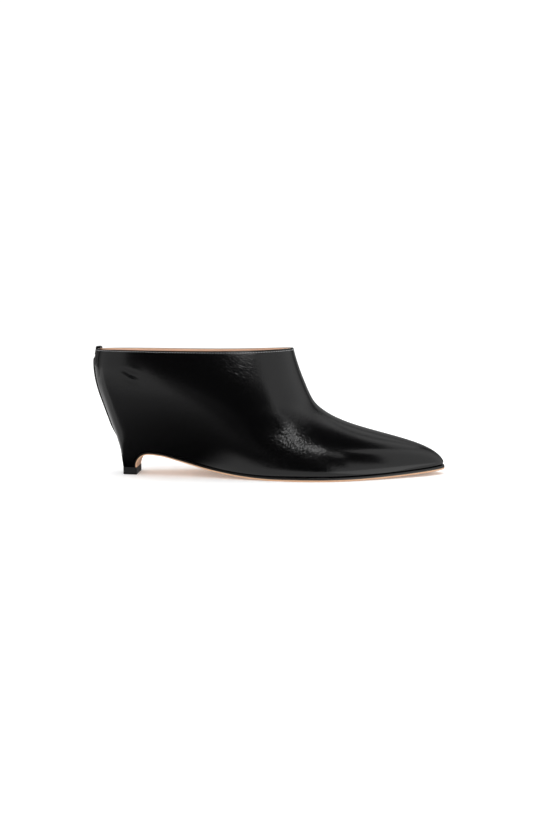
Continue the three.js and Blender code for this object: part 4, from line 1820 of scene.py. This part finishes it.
@dataclass
class Studio:
    """A white floor, plain soft light and the camera."""

    camera_place: tuple[float, float, float] = (128.94, -699.48, 118.6)
    camera_pitch: float = 6.033
    camera_yaw: float = 2.2
    focal_pixels: float = 936.0
    image_height: int = 829
    sensor: float = 36.0
    floor_size: float = 6000.0
    floor_colour: str = "#f8f8f8"
    floor_glow: float = 0.16  # lifts the shadows, as light through the paper does
    sky_strength: float = 1.08
    lamp_power: float = 9.0
    lamp_size: tuple[float, float] = (1400.0, 1000.0)
    lamp_place: tuple[float, float, float] = (100.0, 50.0, 1400.0)
    cards: tuple[Card, ...] = (
        # the bright walls of the room, with a corner of its ceiling on the toe's side
        Card("toe_wall", 900, (-2600, 1100), (-900, 846), 0.70, (0.28, 0.3, 0.0, 0.02)),
        Card("toe_wall_high", 880, (-560, 200), (350, 840), 0.12, (0.35, 0.3, 0.6, 0.05), False),
        Card("toe_ceiling", (700, 1370), (-470, 850), 846, 0.60, (0.1, 0.0, 0.0, 0.1), True, 32),
        Card("back_wall", (-300, 900), 1100, (-900, 846), 0.22, (0.1, 0.0, 0.0, 0.1)),
        Card("back_ceiling", (-300, 900), (540, 1100), 846, 0.40, (0.1, 0.0, 0.15, 0.0)),
        Card("left_wall", -900, (-1500, 560), (0, 600), 0.50, (0.01, 0.35, 0.0, 0.2)),
        Card("left_back", (-1900, -300), 1090, (-900, 846), 0.12, (0.0, 0.0, 0.0, 0.1)),
        # the soft box over the ball, and the flag that keeps the toe's side dark
        Card("ball_box", (20, 560), -1060, (410, 1100), 4.8, (0.4, 0.5, 0.2, 0.4), False, -12),
        Card("toe_flag", (222, 316), -128, (34, 100), 0.0),
        Card("sole_flag", (176, 222), -128, (22, 50), 0.0),
        Card("overhead", (-900, 150), (-900, 100), 1500, 0.6, (0.1, 0.1, 0.1, 0.1), False),
        # the lit floor
        Card("floor_left", (-900, -42), (-62, 220), -1, 0.50, (0.0, 0.02, 0.1, 0.5), False),
        Card("floor_behind", (-900, 0), (60, 1100), -5, 0.28, (0.0, 0.02, 0.1, 0.0), False),
        Card("floor_dim", (-900, 60), (-900, -18), -2, 0.14, (0.0, 0.2, 0.0, 0.01), False),
        Card("floor_far", (-1638, -138), (-1161, 339), -3, 0.42, (0.04, 0.0, 0.3, 0.0), False, 153.2),
        Card("floor_near", (38, 900), (-98, -25), -4, 0.62, (0.03, 0.0, 0.4, 0.0), False),
    )

    def build(self) -> None:
        """Makes the floor, the light and the camera."""
        scene = bpy.context.scene
        scene.view_settings.view_transform = "Standard"
        scene.world = world = bpy.data.worlds.new("white_studio")
        world.use_nodes = True
        sky = world.node_tree.nodes["Background"].inputs
        sky["Color"].default_value, sky["Strength"].default_value = (1, 1, 1, 1), self.sky_strength
        world.cycles_visibility.glossy = False
        stage = [self._floor(), self._lamp(), *(card.build() for card in self.cards)]
        self._camera()

    def _floor(self) -> Thing:
        """Lays the white floor, left out of reflections because cards stand for it there.

        Returns:
            The floor.
        """
        material, tree = new_material("white_paper_matt")
        paper = {
            "Base Color": linear(self.floor_colour),
            "Roughness": 0.9,
            "Specular IOR Level": 0.0,
            "Emission Color": linear(self.floor_colour),
            "Emission Strength": self.floor_glow,
        }
        show(tree, add_node(tree, "ShaderNodeBsdfPrincipled", paper).outputs[0])
        half = self.floor_size / 2
        corners = [Vector((x * half, y * half, 0)) for x, y in ((-1, -1), (1, -1), (1, 1), (-1, 1))]
        floor = board("floor", corners, material)
        floor.visible_glossy = False
        return floor

    def _lamp(self) -> Thing:
        """Hangs the big soft lamp overhead.

        Returns:
            The lamp.
        """
        lamp = bpy.data.lights.new("overhead_lamp", "AREA")
        lamp.shape, lamp.energy = "RECTANGLE", self.lamp_power
        lamp.size, lamp.size_y = (length * MM for length in self.lamp_size)
        holder = put("overhead_lamp", lamp)
        holder.location = Vector(self.lamp_place) * MM
        holder.visible_glossy = False
        return holder

    def _camera(self) -> None:
        """The camera at the photograph's angle."""
        data = bpy.data.cameras.new("camera")
        data.sensor_width, data.sensor_fit = self.sensor, "AUTO"
        data.lens = self.focal_pixels / self.image_height * self.sensor
        camera = put("camera", data)
        camera.location = Vector(self.camera_place) * MM
        pitch, yaw = math.radians(90 - self.camera_pitch), math.radians(self.camera_yaw)
        camera.rotation_euler = Euler((pitch, 0, yaw))
        bpy.context.scene.camera = camera


def main() -> None:
    """Builds the dressed shoe in order and reports each piece."""
    logging.basicConfig(level=logging.INFO, format="%(name)s %(message)s")
    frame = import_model()
    last = Last()
    upper = Upper(last)
    shell = upper.build()
    calf = shell.data.materials[0]
    settle(shell, Slot.UPPER, "upper")
    lining = Lining(last).build()
    settle(lining, Slot.INSOLE)
    settle(BackSeam(last).build(calf), Slot.UPPER)
    settle(HeelPatch(last).build(calf), Slot.UPPER)
    settle(BackTab(last).build(calf), Slot.UPPER, "back_tab")
    settle(Outsole(last).build(), Slot.SOLE, "outsole")
    settle(Insole(last).build(lining.data.materials[0]), Slot.INSOLE, "insole")
    settle(TopLift(last).build(), Slot.LIFT, "top_lift")
    WedgeCore().dress(frame["nodes"]["wedge"])
    settle(CollarStitching().build(*upper.stitch_line()), Slot.UPPER)
    Studio().build()


if __name__ == "__main__":
    main()
